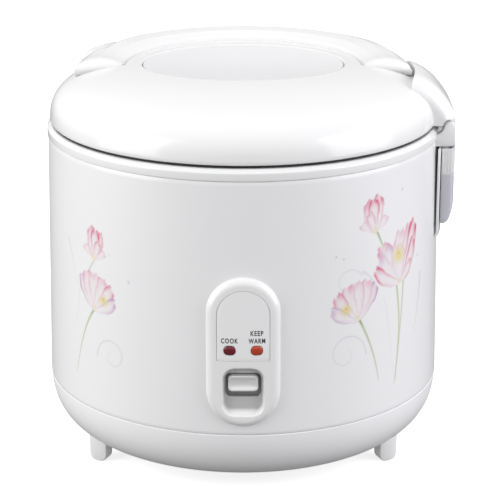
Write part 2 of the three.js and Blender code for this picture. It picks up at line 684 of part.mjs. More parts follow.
function lidUnderside() {
  const low = RIM_Z + 0.1;
  const linerR = LID_R - LID_WALL - 1;
  const half = LATCH_W / 2 + LATCH_ROOM;
  const hook = block([FLANGE_R, -half, low - 1], [linerR - 1, half, low + 5]);
  let liner = disc(linerR, low, low + 2, ROUND).subtract(spin(hook, BUTTON_ANGLE));
  liner = liner.subtract(disc(9, low - 1, low + 5).translate([0, VENT_Y, 0]));
  piece("lid_liner", liner, GREY);
  piece("lid_seal", ring(linerR + GAP, LID_R - 1.2, low, RIM_Z + LID_GAP - GAP, ROUND), DARK);

  const rim = RIM_Z - RIM_RISE + GAP; // over the pot's rim
  const edge = LIP_R - 7.5;
  const sheet = 1;
  const inside = [
    [0, rim - 1.5],
    [edge - 17, rim - 1.5],
    [edge - 9, rim + 0.5],
    [edge, rim + 0.5],
    [edge, rim + 0.5 + sheet],
    [edge - 9.4, rim + 0.5 + sheet],
    [edge - 17.4, rim - 1.5 + sheet],
    [0, rim - 1.5 + sheet],
  ];
  const vent = disc(4, rim - 4, rim + 4, 16).translate([0, VENT_Y, 0]);
  piece("inner_lid", turned(inside).subtract(vent), STEEL);
  piece("inner_lid_gasket", ring(edge + GAP, LIP_R - 1.1, rim, RIM_Z - 0.2, ROUND), GREY);
}

// ---------------------------------------------------------------- carry handle
const handleEndR = () => HANDLE_T / 2 - 0.65;
const handlePivotZ = () => HANDLE_Z + handleEndR();
function carryHandle() {
  const [low, high] = [HANDLE_Z, HANDLE_Z + HANDLE_T];
  const section = [
    [HANDLE_IN, low],
    [HANDLE_OUT, low],
    [HANDLE_OUT, low + 0.36 * HANDLE_T],
    [HANDLE_OUT - 1.7, low + 0.64 * HANDLE_T],
    [HANDLE_OUT - 6.5, low + 0.86 * HANDLE_T],
    [HANDLE_OUT - 15.5, high],
    [HANDLE_IN + 5.8, high - 0.3],
    [HANDLE_IN + 1.3, high - 1],
    [HANDLE_IN, high - 2.2],
  ];
  const hoop = turned(section);
  let made = hoop.intersect(block([-200, HANDLE_PIVOT_Y, 0], [200, 200, 400]));
  for (const side of [-1, 1]) {
    const [x0, x1] = side < 0 ? [-HANDLE_OUT, -HANDLE_IN] : [HANDLE_IN, HANDLE_OUT];
    const end = barX(handleEndR(), x0, x1, HANDLE_PIVOT_Y, handlePivotZ(), 20);
    made = made.add(end.intersect(ring(HANDLE_IN, HANDLE_OUT, low, high, ROUND)));
  }
  made = made.subtract(buttonSector(2 * SLIDE, low - 9, high + 9));
  for (const side of [-1, 1]) {
    const [x0, x1] = side < 0 ? [-HANDLE_IN - 9, -HANDLE_IN + 5] : [HANDLE_IN - 5, HANDLE_IN + 9];
    made = made.subtract(barX(HANDLE_PIN_R + GAP, x0, x1, HANDLE_PIVOT_Y, handlePivotZ(), 16));
    const pin = [x0, x1].map((x) => x - side * 1.5);
    const name = side < 0 ? "handle_pin_left" : "handle_pin_right";
    piece(name, barX(HANDLE_PIN_R, ...pin, HANDLE_PIVOT_Y, handlePivotZ(), 16), STEEL);
  }
  piece("carry_handle", made, WHITE);
}

// ---------------------------------------------------------------- release button and latch
function buttonSector(grow, low, high) {
  const turn = THREE.MathUtils.radToDeg(grow / BUTTON_IN);
  return sector(BUTTON_IN - grow, BUTTON_IN + BUTTON_W + grow, BUTTON_ANGLE, BUTTON_HALF + turn, low, high);
}

function releaseButton() {
  const top = RIM_Z + BUTTON_TOP;
  const skirt = RIM_Z + LATCH_Z + 6.2;
  const armTop = RIM_Z + LATCH_Z + 1.2;
  let made = buttonSector(0, skirt, top).subtract(buttonSector(-2, skirt - 5, top - BUTTON_WALL));
  const postR = LATCH_R - LATCH_ARM + 2.8;
  made = made.add(spin(disc(2, armTop + BUTTON_PLAY, top - 1, 12).translate([postR, 0, 0]), BUTTON_ANGLE));
  piece("release_button", made, WHITE);
  const middle = BUTTON_IN + BUTTON_W / 2;
  const coil = ring(2.4, 4, RIM_Z + 2.4, top - BUTTON_WALL - GAP).translate([middle, 13, 0]);
  piece("button_spring", spin(coil, BUTTON_ANGLE), STEEL);
}

function latch() {
  const [arm, foot] = [RIM_Z + LATCH_Z, RIM_Z - LATCH_REACH];
  const outline = [
    [LATCH_R - LATCH_ARM, arm - 1.2],
    [LATCH_R - 1.3, arm - 1.2],
    [LATCH_R - 1.3, foot + 2.8],
    [LATCH_R - 3.7, foot + 2.8],
    [LATCH_R - 3.7, foot + 2],
    [LATCH_R - 2.1, foot],
    [LATCH_R + 1.3, foot],
    [LATCH_R + 1.3, arm + 1.2],
    [LATCH_R - LATCH_ARM, arm + 1.2],
  ];
  const half = LATCH_W / 2;
  const boss = barY(3, -half, half, LATCH_R, arm, 16);
  const bore = barY(1.4, -half - 1, half + 1, LATCH_R, arm, 16);
  const hook = slab(polygon(outline), -half, half).add(boss).subtract(bore);
  piece("latch_hook", spin(hook, BUTTON_ANGLE), STEEL);
  piece("latch_pin", spin(barY(1.1, -half - 3, half + 3, LATCH_R, arm, 12), BUTTON_ANGLE), STEEL);
}

// ---------------------------------------------------------------- hinge
function hinge() {
  const ledge = RIM_Z - LEDGE_TOP;
  const out = HINGE_X + EAR_R;
  let bracket = block([0, -HINGE_HALF, ledge - LEDGE_H], [out, HINGE_HALF, ledge]);
  for (const side of [-1, 1]) {
    const [y0, y1] = side < 0 ? [-HINGE_HALF, -HINGE_HALF + EAR_W] : [HINGE_HALF - EAR_W, HINGE_HALF];
    bracket = bracket.add(barY(EAR_R, y0, y1, HINGE_X, PIVOT_Z, 24));
    bracket = bracket.add(block([0, y0, ledge - 1], [out, y1, PIVOT_Z]));
  }
  bracket = bracket.subtract(disc(DRUM_R + RING_PROUD + GAP, 0, 400, ROUND));
  bracket = bracket.subtract(barY(HINGE_PIN_R + GAP, -60, 60, HINGE_X, PIVOT_Z, 20));
  piece("hinge_bracket", bracket, WHITE);
  piece("hinge_pin", barY(HINGE_PIN_R, -HINGE_HALF + 0.8, HINGE_HALF - 0.8, HINGE_X, PIVOT_Z, 20), STEEL);

  const [x, z] = [HINGE_X, PIVOT_Z];
  const lobe = [
    [x - 27, z + 9],
    [x - 5, z + 9],
    [x - 5, z],
    [x - 3.6, z - 3.5],
    [x, z - KNUCKLE_R],
    [x + 3.2, z - 3.7],
    [x + LOBE_OUT, z - 3.5],
    [x + LOBE_OUT, z + 2],
    [x + 2.3, z + 11],
    [x - 4, z + 19.4],
    [x - 10.2, z + 25.2],
    [x - 16.6, z + 28.4],
    [x - 27, z + 30.5],
  ];
  const between = HINGE_HALF - EAR_W - SLIDE;
  const lower = slab(polygon(lobe), -between, between);
  const upper = slab(polygon(lobe), -HINGE_HALF, HINGE_HALF);
  const high = block([0, -100, z + EAR_R + 1.5], [300, 100, 400]);
  let cover = lower.add(upper.intersect(high));
  const dome = domeLine().map(([r, h]) => [r + GAP, RIM_Z + h + GAP]).reverse();
  const lid = [[0, RIM_Z - 9], [LID_R + GAP, RIM_Z - 9], ...dome, [0, RIM_Z + LID_RISE + GAP]];
  cover = cover.subtract(turned(lid));
  cover = cover.subtract(disc(HANDLE_OUT + 2 * SLIDE, RIM_Z + HANDLE_SEAT - 2, RIM_Z + 90, ROUND));
  cover = cover.subtract(barY(HINGE_PIN_R + GAP, -60, 60, x, z, 20));
  cover = cover.subtract(barY(KNUCKLE_R + 0.4, -9, 9, x, z, 20));
  piece("hinge_cover", cover, WHITE);
  const coil = barY(4.4, -8.2, 8.2, x, z, 20).subtract(barY(HINGE_PIN_R + GAP, -10, 10, x, z, 20));
  piece("hinge_spring", coil, STEEL);
}

// ---------------------------------------------------------------- dew collector
function dewCollector() {
  const high = RIM_Z - CUP_DROP;
  const low = high - CUP_H;
  const plateX = drumRadius(high - BACK_H) + 0.4;
  const cupX = plateX + BACK_T + GAP + 0.1;
  const half = CUP_W / 2;
  const plate = block([plateX, -half - 1, high - BACK_H], [plateX + BACK_T, half + 1, high]);
  piece("collector_plate", plate, WHITE);

  const outline = (inset) => {
    const [x0, x1, z0] = [cupX + inset, cupX + CUP_T - inset, low + inset];
    const shape = new THREE.Shape();
    shape.moveTo(x0, z0);
    const corner = CUP_ROUND - inset;
    shape.absarc(x1 - corner, z0 + corner, corner, 1.5 * Math.PI, 2 * Math.PI);
    shape.lineTo(x1, high + (inset ? 5 : 0));
    shape.lineTo(x0, high + (inset ? 5 : 0));
    shape.closePath();
    return shape;
  };
  const shell = slab(outline(0), -half, half, 6);
  const inside = slab(outline(CUP_WALL), -half + CUP_WALL, half - CUP_WALL, 6);
  const ribs = 18.3; // depth of the holder that the cup's mouth closes round
  const open = block([0, -half + CUP_WALL, high - ribs], [cupX + 3, half - CUP_WALL, high + 5]);
  piece("dew_collector", shell.subtract(inside).subtract(open), CLEAR);

  let holder = block([cupX, -half + 5, high - ribs + 2.5], [cupX + 2.6, half - 5, high]);
  for (let y = -half + 9; y <= half - 9; y += 6.5) {
    const rib = block([cupX, y - 1, high - ribs + 2.5], [cupX + CUP_T - CUP_WALL - 0.7, y + 1, high]);
    holder = holder.add(rib);
  }
  piece("collector_holder", holder, WHITE);
}

// ---------------------------------------------------------------- assembly
outerDrum();
topRing();
baseShell();
bottomCover();
feet();
cordGland();
potWell();
innerPot();
heaters();
sensor();
cookSwitch();
frontPanel();
lidCover();
dishInsert();
lidUnderside();
carryHandle();
releaseButton();
latch();
hinge();
dewCollector();

export default root;
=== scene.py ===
"""A round rice cooker with a side-hinged lid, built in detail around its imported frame.

Shapes are worked out in millimetres about the drum's own axis: X to the hinge, Y to the back, Z up from
the floor. placed() carries them into the frame, in metres.
"""
import math

import bmesh
import bpy
import numpy as np
from bpy.props import FloatProperty, FloatVectorProperty, PointerProperty
from mathutils import Matrix, Vector


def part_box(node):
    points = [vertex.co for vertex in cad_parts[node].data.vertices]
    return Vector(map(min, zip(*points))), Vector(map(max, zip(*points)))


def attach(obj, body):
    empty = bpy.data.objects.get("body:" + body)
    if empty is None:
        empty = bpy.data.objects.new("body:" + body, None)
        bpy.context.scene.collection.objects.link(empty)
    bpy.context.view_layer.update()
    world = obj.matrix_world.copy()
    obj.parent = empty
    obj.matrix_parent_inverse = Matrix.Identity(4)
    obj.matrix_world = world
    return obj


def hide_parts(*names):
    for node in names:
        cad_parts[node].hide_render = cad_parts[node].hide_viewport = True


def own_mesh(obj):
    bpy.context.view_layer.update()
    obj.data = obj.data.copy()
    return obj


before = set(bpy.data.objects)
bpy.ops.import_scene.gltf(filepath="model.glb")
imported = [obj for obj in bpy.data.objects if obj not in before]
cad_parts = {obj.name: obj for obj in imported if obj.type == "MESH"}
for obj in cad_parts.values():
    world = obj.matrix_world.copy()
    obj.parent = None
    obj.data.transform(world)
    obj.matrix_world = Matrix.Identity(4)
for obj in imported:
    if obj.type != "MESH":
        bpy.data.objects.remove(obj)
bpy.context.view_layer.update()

bl_info = {
    "name": "Round rice cooker",
    "version": (1, 0, 0),
    "blender": (4, 5, 0),
    "location": "3D View > Sidebar > Cooker",
    "description": "Builds a rice cooker's visible pieces, finishes and studio around its frame",
    "category": "Object",
}

MM = 0.001
_low, _high = (np.array(corner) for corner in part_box("pot_well"))
AXIS = np.array([(_low[0] + _high[0]) / 2, (_low[1] + _high[1]) / 2, 0.0])


def box_mm(node):
    """A node's lowest and highest corners, in millimetres about the drum's axis."""
    return [(np.array(corner) - AXIS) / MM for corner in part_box(node)]


# Places read from the frame
RING_HIGH = box_mm("top_ring")[1]
DRUM_LOW, DRUM_HIGH = box_mm("outer_drum")
BASE_LOW, BASE_HIGH = box_mm("base_shell")
LID_HIGH = box_mm("lid_cover")[1]
PANEL_LOW, PANEL_HIGH = box_mm("panel_bezel")
KNOB_LOW, KNOB_HIGH = box_mm("cook_knob")
LABEL_LOW, LABEL_HIGH = box_mm("label_plate")
BUTTON_LOW, BUTTON_HIGH = box_mm("release_button")
HANDLE_LOW = box_mm("carry_handle")[0]
HINGE_LOW, HINGE_HIGH = box_mm("hinge_pin")
CUP_LOW, CUP_HIGH = box_mm("dew_collector")
PLATE_LOW, PLATE_HIGH = box_mm("collector_plate")
RIM = RING_HIGH[2] + 0.3  # plane that the lid shuts on
RING_PROUD = 0.6
DRUM_R = RING_HIGH[0] - RING_PROUD
BEND_R = DRUM_R + 24.0  # curve of the dew collector and its plate
FLARE = 0.015  # growth of the drum's radius per millimetre of depth below the rim
FOOT_H = BASE_LOW[2]
CURVE_H = 42.2
CURVE_Z = FOOT_H + CURVE_H
CORNER = 50.6
CORNER_POWER = 2.616
LID_R = LID_HIGH[0]
KNOB_Z = (KNOB_LOW[2] + KNOB_HIGH[2]) / 2
PANEL_Z = (PANEL_LOW[2] + PANEL_HIGH[2]) / 2
PIVOT_X = (HINGE_LOW[0] + HINGE_HIGH[0]) / 2
PIVOT_Z = (HINGE_LOW[2] + HINGE_HIGH[2]) / 2
HANDLE_SEAT = 25.0  # floor of the handle's recess over the rim
DISH_A, DISH_B = 62.8, 50.0
BUTTON_ANGLE = 147.5
BUTTON_HALF = 11.0


def drum_radius(z):
    return DRUM_R + FLARE * (RIM - z)


def skin_radius(z, inset=0.0):
    """Radius of the outer skin at a height, through the drum and the rounded base."""
    if z >= CURVE_Z:
        return drum_radius(z) - inset
    wide = drum_radius(CURVE_Z)
    share = min(1.0, (CURVE_Z - z) / (CURVE_H - inset))
    across = (1 - share**CORNER_POWER) ** (1 / CORNER_POWER)
    return wide - CORNER + (CORNER - inset) * across


def dome(radius, rise=36.6, power=3.0):
    """Height of the lid's dome over the rim."""
    share = np.clip(np.asarray(radius, float) / LID_R, 0, 1)
    return rise * (1 - share**power) ** (1 / power)


def smooth(value):
    value = np.clip(value, 0, 1)
    return value * value * (3 - 2 * value)


# ---------------------------------------------------------------- mesh helpers
def placed(points):
    """Points in millimetres about the axis, as points of the frame in metres."""
    return np.asarray(points, float).reshape(-1, 3) * MM + AXIS


def cleaned(data, gap=2e-6, slivers=True, outwards=True):
    """Merges a mesh's doubles, and on request takes out its slivers and turns its faces outwards."""
    made = bmesh.new()
    made.from_mesh(data)
    bmesh.ops.remove_doubles(made, verts=made.verts, dist=gap)
    if slivers:
        bmesh.ops.dissolve_degenerate(made, dist=1e-6, edges=made.edges)
    if outwards:
        bmesh.ops.recalc_face_normals(made, faces=made.faces)
    made.to_mesh(data)
    made.free()


def piece(name, points, faces, finish, sharp=38.0):
    """A mesh object from points in millimetres, with its doubles merged and its faces turned outwards."""
    data = bpy.data.meshes.new(name)
    data.from_pydata(placed(points).tolist(), [], faces)
    cleaned(data)
    return shown(name, data, finish, sharp)


def dressed(data, finish, sharp):
    """Shades a mesh smooth up to an angle, and gives it its finish."""
    data.polygons.foreach_set("use_smooth", [True] * len(data.polygons))
    data.set_sharp_from_angle(angle=math.radians(sharp))
    data.materials.clear()
    data.materials.append(finish)


def shown(name, data, finish, sharp=38.0):
    """Links a mesh as an object."""
    dressed(data, finish, sharp)
    obj = bpy.data.objects.new(name, data)
    bpy.context.scene.collection.objects.link(obj)
    return obj


def settled(obj, body, slot, *nodes):
    """Fixes a finished piece to its body and hides the nodes that it stands for. Its slot is not used."""
    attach(obj, body)
    if nodes:
        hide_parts(*nodes)
    return obj


def filleted(corners, steps=5):
    """A closed outline from (a, b, radius) corners, with each corner rounded."""
    out = []
    count = len(corners)
    for i, (a, b, radius) in enumerate(corners):
        here = np.array([a, b], float)
        if radius <= 0:
            out.append(here)
            continue
        before = np.array(corners[i - 1][:2], float) - here
        after = np.array(corners[(i + 1) % count][:2], float) - here
        d0, d1 = np.linalg.norm(before), np.linalg.norm(after)
        before, after = before / d0, after / d1
        angle = math.acos(max(-1.0, min(1.0, float(before @ after))))
        reach = min(radius / math.tan(angle / 2), d0 * 0.49, d1 * 0.49)
        start, end = here + before * reach, here + after * reach
        for k in range(steps + 1):
            t = k / steps
            out.append((1 - t) ** 2 * start + 2 * t * (1 - t) * here + t * t * end)
    return [tuple(p) for p in out]


def revolved_faces(outline, sides):
    """Faces between the rings of a closed outline of (radius, height), none where it runs on the axis."""
    faces = []
    rows = len(outline)
    for j in range(rows):
        k = (j + 1) % rows
        if outline[j][0] < 1e-6 and outline[k][0] < 1e-6:
            continue
        for i in range(sides):
            n = (i + 1) % sides
            faces.append((j * sides + i, j * sides + n, k * sides + n, k * sides + i))
    return faces


def turned(name, outline, finish, sides=160, centre=(0.0, 0.0), sharp=38.0):
    """A closed outline of (radius, height) turned about an upright axis."""
    angles = np.linspace(0, 2 * math.pi, sides, endpoint=False)
    points = [
        (centre[0] + r * math.cos(a), centre[1] + r * math.sin(a), z) for r, z in outline for a in angles
    ]
    return piece(name, points, revolved_faces(outline, sides), finish, sharp)


def spun(obj, degrees):
    """Turns a piece's mesh about the drum's axis."""
    obj.data.transform(Matrix.Translation(-Vector(AXIS)))
    obj.data.transform(Matrix.Rotation(math.radians(degrees), 4, "Z"))
    obj.data.transform(Matrix.Translation(Vector(AXIS)))
    return obj


def lofted(name, rings, finish, sharp=38.0):
    """Closed loops joined one to the next, and capped at both ends."""
    rings = [np.asarray(ring, float) for ring in rings]
    size = len(rings[0])
    points = np.concatenate(rings)
    faces = []
    for j in range(len(rings) - 1):
        for i in range(size):
            n = (i + 1) % size
            faces.append((j * size + i, j * size + n, (j + 1) * size + n, (j + 1) * size + i))
    last = (len(rings) - 1) * size
    faces += [tuple(range(size)), tuple(range(last, last + size))]
    return piece(name, points, faces, finish, sharp)


def prism(line, stations, middle, least):
    """Rings of an upright outline along Y, drawn in towards its middle by each station's inset."""
    rings = []
    for y, inset in stations:
        loop = []
        for point in line:
            d = np.array(point) - middle
            px, pz = middle + d * (1 - inset / max(least, np.linalg.norm(d)))
            loop.append((px, y, pz))
        rings.append(loop)
    return rings


def rod(name, x, z, radius, y0, y1, sides, finish):
    """A round bar along Y."""
    angles = np.linspace(0, 2 * math.pi, sides, endpoint=False)
    return lofted(name, [
        [(x + radius * math.cos(a), y, z + radius * math.sin(a)) for a in angles] for y in (y0, y1)
    ], finish)


def shell(name, outer, inner, finish, skip=None, wrap=False, sharp=38.0):
    """A closed wall between two grids of points of one size. Cells marked in skip are left open."""
    rows, cols = outer.shape[:2]
    cells = cols if wrap else cols - 1
    keep = np.ones((rows - 1, cells), bool) if skip is None else ~skip
    points = np.concatenate([outer.reshape(-1, 3), inner.reshape(-1, 3)])
    half = rows * cols
    faces = []
    for j in range(rows - 1):
        for i in range(cells):
            if not keep[j, i]:
                continue
            n = (i + 1) % cols
            a, b, c, d = j * cols + i, j * cols + n, (j + 1) * cols + n, (j + 1) * cols + i
            faces.append((a, b, c, d))
            faces.append((d + half, c + half, b + half, a + half))
            left = keep[j, i - 1] if (wrap or i > 0) else False
            right = keep[j, (i + 1) % cells] if (wrap or i < cells - 1) else False
            below = keep[j - 1, i] if j > 0 else False
            above = keep[j + 1, i] if j < rows - 2 else False
            for open_side, (p, q) in ((left, (d, a)), (right, (b, c)), (below, (a, b)), (above, (c, d))):
                if not open_side:
                    faces.append((q, p, p + half, q + half))
    return piece(name, points, faces, finish, sharp)


def pad(name, outline, front, back, finish, rings=14, power=0.6, sharp=38.0):
    """A domed cushion shape on an outline of (u, v) points about (0, 0). front(u, v, share) and back(u, v)
    return points in millimetres, and share runs from 0 in the middle to 1 on the outline."""
    outline = np.asarray(outline, float)
    shares = (np.arange(rings + 1) / rings) ** power
    outer = np.array([[front(u * s, v * s, s) for u, v in outline] for s in shares])
    inner = np.array([[back(u * s, v * s) for u, v in outline] for s in shares])
    return shell(name, outer, inner, finish, wrap=True, sharp=sharp)


def rounded_rect(width, height, radius, steps=8):
    """Outline of a rectangle with round corners, about (0, 0)."""
    out = []
    for k, (sx, sy) in enumerate(((1, 1), (-1, 1), (-1, -1), (1, -1))):
        for i in range(steps + 1):
            a = math.pi / 2 * (k + i / steps)
            out.append((
                sx * (width / 2 - radius) + radius * math.cos(a),
                sy * (height / 2 - radius) + radius * math.sin(a),
            ))
    return out


def block(name, low, high, radius, finish, segments=3):
    """A block between two corners, with every edge rounded."""
    made = bmesh.new()
    bmesh.ops.create_cube(made, size=1.0)
    size = np.array(high, float) - np.array(low, float)
    for vert in made.verts:
        vert.co = Vector((np.array(vert.co) + 0.5) * size + np.array(low, float))
    bmesh.ops.bevel(
        made, geom=list(made.edges), offset=radius, segments=segments, profile=0.5, affect="EDGES"
    )
    points = [tuple(v.co) for v in made.verts]
    faces = [tuple(v.index for v in face.verts) for face in made.faces]
    made.free()
    return piece(name, points, faces, finish)


def curved(obj, step=4.0):
    """Bends a finished piece about an upright axis, so that it follows the drum a little."""
    made = bmesh.new()
    made.from_mesh(obj.data)
    for y in np.arange(-40, 40.1, step):
        everything = made.verts[:] + made.edges[:] + made.faces[:]
        bmesh.ops.bisect_plane(made, geom=everything, dist=1e-7, plane_co=Vector(placed([(0, y, 0)])[0]),
                               plane_no=(0, 1, 0))
    for vert in made.verts:
        y = (vert.co.y - AXIS[1]) / MM
        vert.co.x -= (BEND_R - math.sqrt(BEND_R**2 - y * y)) * MM
    made.to_mesh(obj.data)
    made.free()
    obj.data.set_sharp_from_angle(angle=math.radians(38))
    return obj


def joined(name, parts, finish):
    """Several mesh objects as one."""
    made = bmesh.new()
    for part in parts:
        made.from_mesh(part.data)
    data = bpy.data.meshes.new(name)
    made.to_mesh(data)
    made.free()
    for part in parts:
        bpy.data.objects.remove(part)
    return shown(name, data, finish)


def cut(obj, cutters, sharp=38.0):
    """Takes cutters away from a piece, and removes them."""
    for cutter in cutters:
        change = obj.modifiers.new("cut", "BOOLEAN")
        change.operation = "DIFFERENCE"
        change.solver = "EXACT"
        change.object = cutter
        held(obj, sharp)
        bpy.data.objects.remove(cutter)
    return obj


def evaluated_mesh(obj):
    """A new mesh of what an object's modifiers or curve make."""
    bpy.context.view_layer.update()
    return bpy.data.meshes.new_from_object(obj.evaluated_get(bpy.context.evaluated_depsgraph_get()))


def held(obj, sharp=38.0):
    """Applies a piece's modifiers to its mesh."""
    finish = obj.data.materials[0]
    data = evaluated_mesh(obj)
    obj.modifiers.clear()
    cleaned(data, outwards=False)
    if not data.polygons:
        raise RuntimeError(f"{obj.name} was left empty")
    obj.data = data
    dressed(data, finish, sharp)


# ---------------------------------------------------------------- geometry node helpers
def grower(name, sockets):
    """A geometry node tree with named inputs. Returns the tree, its input node and its output node."""
    tree = bpy.data.node_groups.new(name, "GeometryNodeTree")
    kinds = {"length": "NodeSocketFloat", "count": "NodeSocketInt", "finish": "NodeSocketMaterial"}
    for label, kind, value in sockets:
        socket = tree.interface.new_socket(label, in_out="INPUT", socket_type=kinds[kind])
        if value is not None:
            socket.default_value = value
    tree.interface.new_socket("Finish", in_out="INPUT", socket_type="NodeSocketMaterial")
    tree.interface.new_socket("Geometry", in_out="OUTPUT", socket_type="NodeSocketGeometry")
    return tree, tree.nodes.new("NodeGroupInput"), tree.nodes.new("NodeGroupOutput")


def add(tree, kind, inputs=None, **settings):
    """Adds a node. Each input, by name or number, takes a value or the socket that feeds it."""
    made = tree.nodes.new(kind)
    for key, value in settings.items():
        setattr(made, key, value)
    for key, value in (inputs or {}).items():
        if isinstance(value, bpy.types.NodeSocket):
            tree.links.new(value, made.inputs[key])
        else:
            made.inputs[key].default_value = value
    return made


def closed_tree(tree, given, result, last):
    """Ends a tree in Realize Instances and Set Material."""
    real = add(tree, "GeometryNodeRealizeInstances", {0: last})
    coat = add(tree, "GeometryNodeSetMaterial", {
        "Geometry": real.outputs[0], "Material": given.outputs["Finish"],
    })
    tree.links.new(coat.outputs[0], result.inputs[0])


def grown(name, tree, values, finish, place=None, sharp=38.0):
    """Evaluates a tree with these inputs, as a plain mesh object put in its place."""
    host = bpy.data.objects.new(name + "_host", bpy.data.meshes.new(name + "_host"))
    bpy.context.scene.collection.objects.link(host)
    change = host.modifiers.new("grow", "NODES")
    change.node_group = tree
    for item in tree.interface.items_tree:
        if item.item_type == "SOCKET" and item.in_out == "INPUT":
            if item.name == "Finish":
                change[item.identifier] = finish
            elif item.name in values:
                change[item.identifier] = values[item.name]
    data = evaluated_mesh(host)
    host.modifiers.clear()
    bpy.data.objects.remove(host)
    if not data.polygons:
        raise RuntimeError(f"{name} grew no faces")
    data.name = name
    cleaned(data, gap=1e-6, slivers=False)
    if place is not None:
        data.transform(place)
    return shown(name, data, finish, sharp)


def at(x, y, z):
    """A move to a point given in millimetres about the axis."""
    return Matrix.Translation(Vector(placed([(x, y, z)])[0]))


# ---------------------------------------------------------------- finishes
GRAIN_DEPTH = 0.0004
FINISHES = {}


def finish(name, colour, roughness, spread=0.02, mottle=30.0, grain=2500.0, bump=0.02, stretch=(1, 1, 1),
           swing=0.04, attribute=None, **sockets):
    """A shader with a slow change of tone, a change of roughness and a fine surface grain."""
    if name in FINISHES:
        return FINISHES[name]
    made = bpy.data.materials.new(name)
    made.use_nodes = True
    tree = made.node_tree
    shader = tree.nodes["Principled BSDF"]
    for key, value in sockets.items():
        shader.inputs[key.replace("_", " ")].default_value = value
    place = add(tree, "ShaderNodeTexCoord")
    turn = add(tree, "ShaderNodeMapping", {"Vector": place.outputs["Object"], "Scale": stretch})
    slow, fine = (
        add(tree, "ShaderNodeTexNoise", {"Vector": turn.outputs["Vector"], "Scale": scale, "Detail": detail})
        for scale, detail in ((mottle, 4), (grain, 2))
    )
    tone = add(tree, "ShaderNodeMixRGB", {
        "Fac": slow.outputs["Fac"],
        "Color1": (*[c * (1 - spread) for c in colour], 1),
        "Color2": (*[min(1, c * (1 + spread)) for c in colour], 1),
    })
    result = tone.outputs["Color"]
    if attribute:
        # The attribute's colour is multiplied in: on the drum it is the print, on the panel it is the painted shade in
        # the scoop.
        ink = add(tree, "ShaderNodeVertexColor", layer_name=attribute)
        over = add(tree, "ShaderNodeMixRGB", {"Fac": 1, "Color1": result, "Color2": ink.outputs["Color"]},
                   blend_type="MULTIPLY")
        result = over.outputs["Color"]
    gloss = add(tree, "ShaderNodeMapRange", {
        "Value": slow.outputs["Fac"], "To Min": max(0.02, roughness - swing), "To Max": roughness + swing,
    })
    relief = add(tree, "ShaderNodeBump", {
        "Strength": bump, "Distance": GRAIN_DEPTH, "Height": fine.outputs["Fac"],
    })
    tree.links.new(result, shader.inputs["Base Color"])
    tree.links.new(gloss.outputs["Result"], shader.inputs["Roughness"])
    tree.links.new(relief.outputs["Normal"], shader.inputs["Normal"])
    FINISHES[name] = made
    return made


def colours():
    return bpy.context.scene.cooker_colours


def sizes():
    return bpy.context.scene.cooker_sizes


def enamel():
    return finish("pearl_enamel", tuple(colours().enamel), 0.3, spread=0.012, mottle=14.0, grain=900.0,
                  bump=0.03, attribute="print", Coat_Weight=0.25, Coat_Roughness=0.12)


def white():
    return finish("glossy_white", tuple(colours().gloss), 0.2, spread=0.008, mottle=18.0, grain=700.0,
                  bump=0.02, Coat_Weight=0.35, Coat_Roughness=0.08)


# The panel's white, multiplied by a colour attribute that paints shade into the finger scoop.
def panel_white_painted_scoop_shade():
    return finish("panel_white_painted_scoop_shade", tuple(colours().gloss), 0.22, spread=0.008, mottle=18.0, grain=700.0,
                  bump=0.02, attribute="painted_scoop_shade", Coat_Weight=0.3, Coat_Roughness=0.1)


def base_white():
    return finish("satin_base_white", tuple(colours().base), 0.34, spread=0.012, mottle=22.0, grain=1600.0,
                  bump=0.04)


def panel_grey():
    return finish("panel_face_grey", tuple(colours().panel), 0.42, spread=0.01, grain=3200.0, bump=0.08)


def satin_metal():
    return finish("satin_silver", (0.93, 0.93, 0.93), 0.32, spread=0.05, mottle=90.0, grain=1500.0, bump=0.1,
                  stretch=(0.08, 1, 1), swing=0.06, Metallic=0.4)


def steel():
    return finish("sheet_steel", (0.62, 0.63, 0.65), 0.32, spread=0.06, mottle=60.0, grain=1400.0, bump=0.08,
                  stretch=(1, 1, 0.15), swing=0.08, Metallic=1.0)


def aluminium():
    return finish("cast_aluminium", (0.6, 0.61, 0.62), 0.46, spread=0.08, mottle=120.0, grain=1800.0, bump=0.25,
                  Metallic=1.0)


def rubber():
    return finish("dark_rubber", (0.012, 0.012, 0.013), 0.6, spread=0.2, grain=2600.0, bump=0.15)


def silicone():
    return finish("translucent_silicone", (0.62, 0.63, 0.64), 0.45, spread=0.04, grain=1800.0, bump=0.06,
                  Subsurface_Weight=0.1, Subsurface_Scale=0.004)


def dark():
    return finish("dark_plastic", (0.02, 0.02, 0.022), 0.45, spread=0.15, grain=3000.0, bump=0.15)


# ---------------------------------------------------------------- floral print on the drum
def tint(base, ink, cover):
    """Lays an ink over a colour, with a cover from 0 to 1."""
    return base + (np.asarray(ink, float) - base) * cover[..., None]


